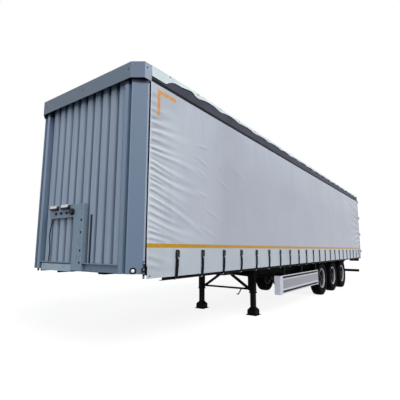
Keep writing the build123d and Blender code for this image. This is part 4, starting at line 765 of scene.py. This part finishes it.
def build_curtains():
    for name, side in SIDES:
        x, z, points = curtain_points(side)
        finish = []
        for r in range(len(z) - 1):
            middle_z = (z[r] + z[r + 1]) / 2
            for c in range(len(x) - 1):
                at = (x[c] + x[c + 1]) / 2 - FRONT
                level = TAPE_LEVEL[0] < middle_z < TAPE_LEVEL[1] and TAPE_UPRIGHT[0] < at < TAPE_END
                upright = TAPE_FOOT < middle_z < TAPE_LEVEL[1] and TAPE_UPRIGHT[0] < at < TAPE_UPRIGHT[1]
                finish.append(1 if BAND[0] < middle_z < BAND[1] else 2 if level or upright else 0)
        cloth = piece(f"curtain_cloth_{name}", points, grid_faces(len(z), len(x), turned=side > 0),
                      [curtain_cloth, yellow_band, orange_tape], slot="curtain_fabric",
                      stands_for=[f"curtain_{name}"], finish_of_face=finish)


# Roof: one sheet over the bows, rolled at its edge, with a valance that scallops between its rivets

# The valance's lower edge near the front: places from the hood, and its heights there
VALANCE_X = (0.243, 0.50, 0.55, 0.60, 0.67, 0.736, 0.896, 1.03, 1.151, 1.24)
VALANCE_EDGE = (3.842, 3.846, 3.853, 3.89, 3.925, 3.944, 3.947, 3.968, 3.983, 3.968)
RIVET_PITCH = 0.70
FIRST_RIVET = 0.63
# The rolled edge of the sheet: how far in from the side, and its heights there
EDGE_ROLL = ((0.0012, 4.012), (0.0040, 4.023), (0.0120, 4.0275), (0.0230, 4.024), (0.0340, 4.012))
VALANCE_RIVET = ((-0.002, 0.011), (0.001, 0.011), (0.004, 0.007), (0.005, 0.001))
FLAT_TOP = 1.205                # half width of the roof between its rolled edges
SAG = 0.012                     # of the sheet, midway between two bows


def valance_edge(x):
    """Height of the valance's lower edge, x from the hood."""
    half = RIVET_PITCH / 2
    near = np.exp(-(((x - FIRST_RIVET + half) % RIVET_PITCH - half) / 0.15) ** 2)
    settled = np.clip((x - 1.3) / 1.5, 0, 1)
    scallop = 3.980 - 0.008 * settled - (0.040 - 0.022 * settled) * near + 0.004 * np.sin(x * 3.1)
    front = np.interp(x, VALANCE_X, VALANCE_EDGE)
    share = np.clip((x - 1.15) / 0.1, 0, 1)
    return front * (1 - share) + scallop * share


def build_roof():
    marks = [FRONT + v for v in VALANCE_X[1:]] + [ROOF_END]
    x = np.union1d(np.arange(ROOF_START, ROOF_END, 0.05), marks)
    x = x[np.concatenate([[True], np.diff(x) > 0.004])]
    from_hood = x - FRONT
    edge = valance_edge(from_hood)
    bows = np.sin(math.pi * (from_hood - POST_REAR) / BOW_STEP) ** 2
    rows = []
    for side in (-1, 1):
        flare = 0.004 + 0.003 * np.sin(from_hood * 9 + side)
        down = []
        for share in (0, 0.3, 0.6, 1):
            height = edge + (3.998 - edge) * share
            down.append(np.stack([x, side * (CLOTH_Y + flare * (1 - share)), height], axis=-1))
        for inset, height in EDGE_ROLL:
            raised = (height - ROOF) * np.clip(0.25 + (from_hood - 0.24) / 0.8, 0, 1)
            wave = 0.002 * np.sin(from_hood * 2.1 + side)
            down.append(np.stack([x, np.full_like(x, side * (HALF - inset)), ROOF + raised + wave], axis=-1))
        rows.append(down)
    top = []
    for y in np.linspace(-FLAT_TOP, FLAT_TOP, 39):
        crown = 1 - (abs(y) / FLAT_TOP) ** 4
        sag = -SAG * bows * crown + 0.002 * np.sin(from_hood * 6 + y * 4) * crown
        top.append(np.stack([x, np.full_like(x, y), 3.9985 + np.minimum(sag, 0.001)], axis=-1))
    points = np.concatenate(rows[0] + top + rows[1][::-1])
    count = len(rows[0]) * 2 + len(top)
    sheet = piece("roof_cover", points, grid_faces(count, len(x), turned=True), [roof_cloth],
                  slot="roof_fabric", stands_for=["roof_sheet"])
    rivets = Heap()
    for index in range(20):
        for side in (-1, 1):
            middle = (FRONT + FIRST_RIVET + RIVET_PITCH * index, side * (HALF - 0.0006), ROOF)
            rivets.add(*turned_solid(VALANCE_RIVET, middle, (0, side, 0), 12))
    rivets.made("valance_rivets", [buckle_steel], smooth=True, slot="black_steel")


# Straps with their over-centre buckles

def ribbon(line, width, thickness, side):
    """A strip along (x, y, z) points, with its width along X and its thickness outwards."""
    points = []
    for index, (px, py, pz) in enumerate(line):
        before = line[max(index - 1, 0)]
        after = line[min(index + 1, len(line) - 1)]
        run = Vector((after[0] - before[0], 0, after[2] - before[2])).normalized()
        wide = Vector((-run.z, 0, run.x)) * width / 2
        out = Vector((0, side * thickness, 0))
        centre = Vector((px, py, pz))
        points += [centre - wide, centre + wide, centre + wide + out, centre - wide + out]
    return bar(points)


STRAP_FOOT = 1.074
STRAP_RISE = 0.330              # from its hook to its buckle
STRAP_WIDTH = 0.058
LEVER_WIDTH = 0.068
LEVER_FOOT = 1.338
LEVER_LENGTH = 0.130
PINS = ((1.460, 0.0050), (1.398, 0.004))        # height and radius of the two pins under a lever
TAIL_TOP = 1.40
TAIL_LENGTH = 0.12


def build_straps():
    straps, buckles = Heap(), Heap()
    random = np.random.default_rng(4)
    for x in STRAP_X:
        for side in (-1, 1):
            lean = float(random.uniform(0.000, 0.022))
            bow = float(random.uniform(-0.012, 0.004))
            base = side * (HALF + 0.0004)
            line = []
            for share in np.linspace(0, 1, 12):
                slack = side * 0.016 * math.sin(math.pi * share) ** 0.7
                along = x + lean * share + bow * math.sin(math.pi * share)
                line.append((along, base + slack, STRAP_FOOT + share * STRAP_RISE))
            straps.add(*ribbon(line, STRAP_WIDTH, 0.0050, side))
            top_x = x + lean
            # A short doubled end of the strap hangs beside the buckle
            tail = []
            for share in np.linspace(0, 1, 5):
                height = TAIL_TOP - TAIL_LENGTH * share
                tail.append((top_x + 0.004 + 0.010 * share, base + side * 0.003, height))
            straps.add(*ribbon(tail, 0.050, 0.0024, side))
            # Lever plate, curved away from the curtain, between two cheeks
            plate = []
            for share in np.linspace(0, 1, 9):
                stand = 0.0060 + 0.0120 * math.sin(math.pi * min(share * 1.2, 1)) ** 0.7
                height = LEVER_FOOT + LEVER_LENGTH * share
                plate.append((top_x + 0.004 * share, side * (HALF + stand), height))
            buckles.add(*ribbon(plate, LEVER_WIDTH, 0.0018, side))
            for edge in (-1, 1):
                cheek = [(px + edge * 0.0355, side * (HALF + 0.0010), pz) for px, py, pz in plate[1:8]]
                buckles.add(*ribbon(cheek, 0.004, 0.0170, side))
            for height, radius in PINS:
                start = (top_x - 0.038, side * (HALF + 0.0100), height)
                buckles.add(*turned_solid([(0, radius), (0.076, radius)], start, (1, 0, 0), 8))
            # Bright zinc end of the lever, low at the rear edge: partly bare metal, partly a painted
            # highlight
            middle = (top_x + 0.020, side * (HALF + 0.0170), 1.352)
            buckles.add(*rounded_box(middle, (0.032, 0.004, 0.028), 0.0015), finish=1)
    straps.made("strap_webbing", [webbing], slot="webbing", stands_for=["curtain_straps"])
    buckles.made("strap_buckle_levers", [buckle_steel, zinc], slot="black_steel",
                 stands_for=["strap_buckles"])


# Tyres with grooved treads, wheel nuts and hub caps

SIDEWALL = (  # from the tyre's middle, and radius, from the rim's seat to the shoulder
    (0.108, 0.292), (0.1135, 0.300), (0.117, 0.315), (0.127, 0.335), (0.139, 0.365), (0.1475, 0.400),
    (0.150, 0.430), (0.149, 0.455), (0.1465, 0.458), (0.1455, 0.468), (0.1415, 0.488), (0.1345, 0.508),
    (0.1300, 0.517), (0.120, 0.5290),
)
CROWN = 0.5424                  # radius at the middle of the tread
GROOVES = (0.092, 0.046, 0.0, -0.046, -0.092)
GROOVE_DEPTH = 0.013
GROOVE_TOP = 0.0062             # half width of a groove at the tread
GROOVE_FLOOR = 0.0052
TREAD_STEPS = 192


def tyre_mesh():
    """A tyre about the Y axis at the origin: rounded sidewalls and a grooved tread."""
    tread = []
    for middle in GROOVES:
        crown = CROWN - 0.0075 * (middle / 0.11) ** 2
        floor = crown - GROOVE_DEPTH
        tread += [(middle + GROOVE_TOP, crown), (middle + GROOVE_FLOOR, floor),
                  (middle - GROOVE_FLOOR, floor), (middle - GROOVE_TOP, crown)]
    profile = [*SIDEWALL, *tread, *[(-a, r) for a, r in SIDEWALL[::-1]]]
    points = []
    for k in range(TREAD_STEPS):
        angle = 2 * math.pi * k / TREAD_STEPS
        for along, radius in profile:
            # Shoulder blocks: short cuts across the edge every fourth step
            cut = k % 4 == 0 and radius > 0.515 and abs(along) > 0.10
            r = radius - (0.009 if cut else 0.0)
            points.append((r * math.sin(angle), along, r * math.cos(angle)))
    mesh = bpy.data.meshes.new("grooved_tyre")
    mesh.from_pydata(points, [], loops(TREAD_STEPS, len(profile), closed=True))
    mesh.materials.append(tyre_rubber)
    mesh.shade_smooth()
    mesh.set_sharp_from_angle(angle=math.radians(32))
    return mesh


NUT = ((-0.001, 0.021), (0.004, 0.021), (0.004, 0.0165), (0.024, 0.0165), (0.026, 0.014), (0.026, 0.009),
       (0.034, 0.009))
HUB_CAP = ((-0.002, 0.062), (0.006, 0.060), (0.010, 0.054), (0.012, 0.02))
CAP_BOLT = ((-0.001, 0.006), (0.005, 0.006))
NUT_CIRCLE = 0.1675
BOLT_CIRCLE = 0.052


def build_wheels():
    shared = tyre_mesh()
    for number, x in enumerate(AXLE_X, start=1):
        for name, side in SIDES:
            body = f"wheel_{name}_{number}_turning"
            tyre = bpy.data.objects.new(f"tyre_tread_{name}_{number}", shared)
            bpy.context.scene.collection.objects.link(tyre)
            turn = Matrix.Rotation(math.pi if side < 0 else 0, 4, "Z")
            tyre.matrix_world = Matrix.Translation((x, side * WHEEL_Y, TYRE_RADIUS)) @ turn
            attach(tyre, body)
            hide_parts(f"tyre_{name}_{number}")
            nuts = Heap()
            disc = (x, side * (WHEEL_Y - 0.005), TYRE_RADIUS)
            cap = (x, side * (WHEEL_Y + 0.092), TYRE_RADIUS)
            cap_face = (x, side * (WHEEL_Y + 0.100), TYRE_RADIUS)
            for at in ring(disc, NUT_CIRCLE, 10, first=0.5):
                nuts.add(*turned_solid(NUT, at, (0, side, 0), 6))
            nuts.add(*turned_solid(HUB_CAP, cap, (0, side, 0), 32), finish=1)
            for at in ring(cap_face, BOLT_CIRCLE, 6):
                nuts.add(*turned_solid(CAP_BOLT, at, (0, side, 0), 6))
            nuts.made(f"wheel_nuts_{name}_{number}", [zinc, black_paint], body=body, slot="zinc_steel")


# Air springs: a bellows over each piston

PISTON = ((0.481, 0.088), (0.49, 0.094), (0.60, 0.090), (0.612, 0.080))
BELLOWS = ((0.606, 0.084), (0.600, 0.104), (0.606, 0.126), (0.622, 0.140), (0.645, 0.1448), (0.70, 0.1445),
           (0.745, 0.141), (0.765, 0.132), (0.772, 0.118))
SPRING_LID = ((0.765, 0.112), (0.7795, 0.112))


def build_air_springs():
    springs = Heap()
    for x in AXLE_X:
        for side in (-1, 1):
            centre = (x + 0.38, side * 0.5, 0)
            springs.add(*turned_solid(PISTON, centre, (0, 0, 1), 40), finish=1)
            springs.add(*turned_solid(BELLOWS, centre, (0, 0, 1), 48))
            springs.add(*turned_solid(SPRING_LID, centre, (0, 0, 1), 40), finish=1)
    made = springs.made("air_spring_bellows", [bellows_rubber, black_paint], smooth=True,
                        slot="spring_rubber", stands_for=["air_springs"])
    made.data.set_sharp_from_angle(angle=math.radians(40))


# Fittings of the front: rivets, coupling lids, marker lenses, dark discs that paint the shade inside the
# bracket's holes, ratchet levers

RIVET_HEAD = ((-0.001, 0.013), (0.001, 0.013), (0.0025, 0.008), (0.003, 0.001))
HOOD_RIVETS = ((-1.045, 3.90), (-0.026, 3.89), (1.009, 3.88))       # Y and height
SIDE_RIVETS = ((FRONT + 0.158, HALF - 0.0004, 3.927), (CURTAIN_START + 0.05, HALF + 0.004, 1.135))
BRACKET_HOLES = (  # height and radius
    (1.889, 0.021), (1.713, 0.021), (1.453, 0.021), (1.280, 0.021), (2.051, 0.008), (1.968, 0.008),
)
HOLES_Y = -0.112
LID_Y = (0.587, 0.286)
LID_SIZE = (0.010, 0.180, 0.030)
LID_HINGE = ((-0.095, 0.006), (0.095, 0.006))
MARKER = (FRONT + 0.105, 1.152, 1.207)
MARKER_DOME = ((0, 0.0215), (0.003, 0.0215), (0.006, 0.018), (0.0085, 0.010), (0.0095, 0.002))
LEVER_PLATES = (  # place, size and edge of the plates that carry a ratchet lever
    ((FRONT + 0.188, 1.2475, 1.215), (0.046, 0.016, 0.060), 0.003),
    ((FRONT + 0.196, 1.2480, 1.140), (0.030, 0.010, 0.060), 0.002),
)
LEVER_BOLTS = ((0.188, 1.222), (0.192, 1.300), (0.196, 1.130))      # from the hood, and height
LEVER_BOLT = ((0, 0.010), (0.009, 0.010), (0.011, 0.006))


def build_front_fittings():
    studs = Heap()
    for y, z in HOOD_RIVETS:
        studs.add(*turned_solid(RIVET_HEAD, (FRONT + 0.0006, y, z), (-1, 0, 0), 12))
    for side in (-1, 1):
        for x, y, z in SIDE_RIVETS:
            studs.add(*turned_solid(RIVET_HEAD, (x, side * y, z), (0, side, 0), 12))
    # Dark discs in the bracket's holes: painted shade inside the holes
    for z, radius in BRACKET_HOLES:
        rim = ((-0.001, radius - 0.001), (0.0005, radius - 0.001), (0.001, radius * 0.5))
        studs.add(*turned_solid(rim, (FRONT + 0.0425, HOLES_Y, z), (-1, 0, 0), 24))
    studs.made("hood_rivets", [socket_plastic], smooth=True, slot="black_steel")

    lids = Heap()
    for y in LID_Y:
        lids.add(*rounded_box((FRONT + 0.0055, y - 0.004, 2.110), LID_SIZE, 0.004))
        lids.add(*turned_solid(LID_HINGE, (FRONT + 0.014, y, 2.134), (0, 1, 0), 12))
    lids.made("coupling_lids", [lid_metal], slot="coupling_metal")

    lenses = Heap()
    for side in (-1, 1):
        out = Vector((-1, side, 0)).normalized()
        middle = Vector((MARKER[0], side * MARKER[1], MARKER[2])) + out * 0.0205
        lenses.add(*turned_solid(MARKER_DOME, middle, out, 32))
    lenses.made("marker_lenses", [white_lens], smooth=True, slot="lamp_plastic")

    levers = Heap()
    for side in (-1, 1):
        for (x, y, z), size, edge in LEVER_PLATES:
            levers.add(*rounded_box((x, side * y, z), size, edge))
        arm = [(FRONT + 0.196 - 0.006 * share, side * 1.2490, 1.245 + 0.080 * share)
               for share in np.linspace(0, 1, 6)]
        levers.add(*ribbon(arm, 0.018, 0.008, side))
        for x, z in LEVER_BOLTS:
            bolt = turned_solid(LEVER_BOLT, (FRONT + x, side * 1.2500, z), (0, side, 0), 16)
            levers.add(*bolt, finish=1)
    levers.made("pole_ratchet_levers", [buckle_steel, zinc], slot="black_steel")


# Side guard: tape laid in its two channels, and bolts on its front plate

GUARD_BOLT = ((-0.001, 0.009), (0.003, 0.009), (0.005, 0.006))
GUARD_BOLTS = ((-2.70, 0.52), (-2.62, 0.52), (-2.70, 0.79), (-2.62, 0.79))      # X and height


def build_guard_trim():
    tape = Heap()
    x = np.linspace(GUARD_FROM, GUARD_TO, 60)
    for low, high in CHANNELS:
        rows = []
        for z, proud in ((low, 0.0), (low + 0.004, 0.0020), (high - 0.004, 0.0020), (high, 0.0)):
            y = -(HALF - 0.0088 + proud)
            rows.append(np.stack([x, np.full_like(x, y), np.full_like(x, z)], axis=-1))
        tape.add(np.concatenate(rows), grid_faces(4, len(x)))
    tape.made("guard_tape", [guard_tape], slot="guard_paint")
    bolts = Heap()
    for x, z in GUARD_BOLTS:
        bolts.add(*turned_solid(GUARD_BOLT, (x, -(HALF + 0.0018), z), (0, -1, 0), 10))
    bolts.made("guard_bolts", [zinc], smooth=True, slot="zinc_steel")


# Rear end: lamp lenses, door seals, and levers on the lock bars

LAMPS = ((0.825, 0.118, 2), (0.955, 0.130, 0), (1.092, 0.130, 1))      # Y, width and finish
SEAL_X = 7.236
SEAL_LEVELS = (1.152, 3.958)
SEAL_UPRIGHTS = (0.010, 1.230)
LEVER_X = 7.2655
LOCK_LEVERS = ((0.330, 1.62, 0.30), (0.900, 1.50, -0.30))      # Y of its bar, height, and reach


def build_rear_fittings():
    lenses = Heap()
    for side in (-1, 1):
        for y, width, finish in LAMPS:
            lenses.add(*rounded_box((7.2000, side * y, 0.997), (0.012, width, 0.108), 0.004), finish)
    lenses.made("rear_lamp_lenses", [red_lens, amber_lens, white_lens], slot="lamp_plastic")
    for name, side in SIDES:
        seal = Heap()
        for z in SEAL_LEVELS:
            seal.add(*rounded_box((SEAL_X, side * 0.62, z), (0.012, 1.222, 0.014), 0.004))
        for y in SEAL_UPRIGHTS:
            seal.add(*rounded_box((SEAL_X, side * y, 2.555), (0.012, 0.012, 2.80), 0.004))
        seal.made(f"door_seal_{name}", [line_rubber], body=f"door_{name}", slot="line_rubber")
        lever = Heap()
        for y, z, reach in LOCK_LEVERS:
            points = []
            for share in np.linspace(0, 1, 10):
                droop = 0.012 * math.sin(math.pi * share)
                half = 0.015 - 0.003 * share
                for dx, dz in ((-0.006, -half), (0.006, -half), (0.006, half), (-0.006, half)):
                    points.append((LEVER_X + dx, side * (y + reach * share), z - droop + dz))
            lever.add(*bar(points))
            keeper = (7.255, side * (y + reach * 0.92), z - 0.003)
            lever.add(*rounded_box(keeper, (0.026, 0.045, 0.075), 0.004))
        lever.made(f"lock_bar_levers_{name}", [zinc], body=f"door_{name}", slot="zinc_steel")


# Floor, light and camera

WINDOWS = (  # name, the way its light goes, strength, and spread in degrees
    ("window_left", (0.30, 0.90, -0.80), 2.5, 35),
    ("window_front", (1.0, 0.10, -0.35), 1.45, 60),
    ("window_rear_right", (-0.80, -0.75, -0.20), 1.9, 70),
)
FLOOR = 90                      # half of the floor's width
CAMERA_PLACE = (-10.077, -4.254, 1.486)
CAMERA_TURN = (35.777, 8.457, 0.22)     # yaw, pitch and roll in degrees


def build_stage():
    material = bpy.data.materials.new("studio_floor")
    material.use_nodes = True
    add = partial(node, material.node_tree)
    camera_ray = add(RAYS, {}, out="Is Camera Ray")
    shine = add(RAYS, {}, out="Is Glossy Ray")
    seen = add(MATHS, {0: camera_ray, 1: shine}, operation="MAXIMUM")
    pale = add("ShaderNodeBsdfDiffuse", {"Color": "#f4f5f6", "Roughness": 1.0})
    bright = add("ShaderNodeEmission", {"Color": "#ffffff", "Strength": 1.0})
    shown = add("ShaderNodeMixShader", {0: 0.86, 1: pale, 2: bright})
    # What the floor throws back on the underside is less than what the camera sees
    dull = add("ShaderNodeBsdfDiffuse", {"Color": "#7c7e82", "Roughness": 1.0})
    surface = material.node_tree.nodes["Material Output"].inputs["Surface"]
    add("ShaderNodeMixShader", {0: seen, 1: dull, 2: shown}, to=surface)
    corners = [(x * FLOOR, y * FLOOR, 0) for x, y in ((-1, -1), (1, -1), (1, 1), (-1, 1))]
    mesh = bpy.data.meshes.new("studio_floor")
    mesh.from_pydata(corners, [], [(0, 1, 2, 3)])
    mesh.materials.append(material)
    floor = bpy.data.objects.new("studio_floor", mesh)
    bpy.context.scene.collection.objects.link(floor)

    world = bpy.data.worlds.new("studio")
    world.use_nodes = True
    bpy.context.scene.world = world
    world.node_tree.nodes.clear()
    add = partial(node, world.node_tree)
    camera_ray = add(RAYS, {}, out="Is Camera Ray")
    shine = add(RAYS, {}, out="Is Glossy Ray")
    through = add(RAYS, {}, out="Is Transmission Ray")
    first = add(MATHS, {0: camera_ray, 1: shine}, operation="MAXIMUM")
    seen = add(MATHS, {0: first, 1: through}, operation="MAXIMUM")
    soft = add("ShaderNodeBackground", {"Color": "#e6ecf5", "Strength": 0.48})
    white = add("ShaderNodeBackground", {"Color": "#ffffff", "Strength": 1.0})
    mixed = add("ShaderNodeMixShader", {0: seen, 1: soft, 2: white})
    add("ShaderNodeOutputWorld", {"Surface": mixed})

    for name, direction, strength, spread in WINDOWS:
        lamp = bpy.data.lights.new(name, "SUN")
        lamp.energy = strength
        lamp.angle = math.radians(spread)
        holder = bpy.data.objects.new(name, lamp)
        holder.rotation_mode = "QUATERNION"
        holder.rotation_quaternion = Vector(direction).to_track_quat("-Z", "Y")
        bpy.context.scene.collection.objects.link(holder)


def place_camera():
    """The photograph's view, solved from the edges of the body."""
    yaw, pitch, roll = [math.radians(angle) for angle in CAMERA_TURN]
    forward = Vector((math.cos(pitch) * math.cos(yaw), math.cos(pitch) * math.sin(yaw), math.sin(pitch)))
    level = Vector((math.sin(yaw), -math.cos(yaw), 0))
    upright = level.cross(forward)
    right = level * math.cos(roll) + upright * math.sin(roll)
    up = upright * math.cos(roll) - level * math.sin(roll)
    camera = bpy.data.cameras.new("camera")
    camera.sensor_width = 36
    camera.lens = 29.397
    camera.clip_end = 400
    holder = bpy.data.objects.new("camera", camera)
    turn = Matrix((right, up, -forward)).transposed().to_4x4()
    holder.matrix_world = Matrix.Translation(CAMERA_PLACE) @ turn
    bpy.context.scene.collection.objects.link(holder)
    bpy.context.scene.camera = holder


place_camera()
build_stage()
build_curtains()
build_roof()
build_straps()
build_wheels()
build_air_springs()
build_front_fittings()
build_guard_trim()
build_rear_fittings()

bpy.context.scene.view_settings.view_transform = "Standard"
bpy.context.view_layer.update()
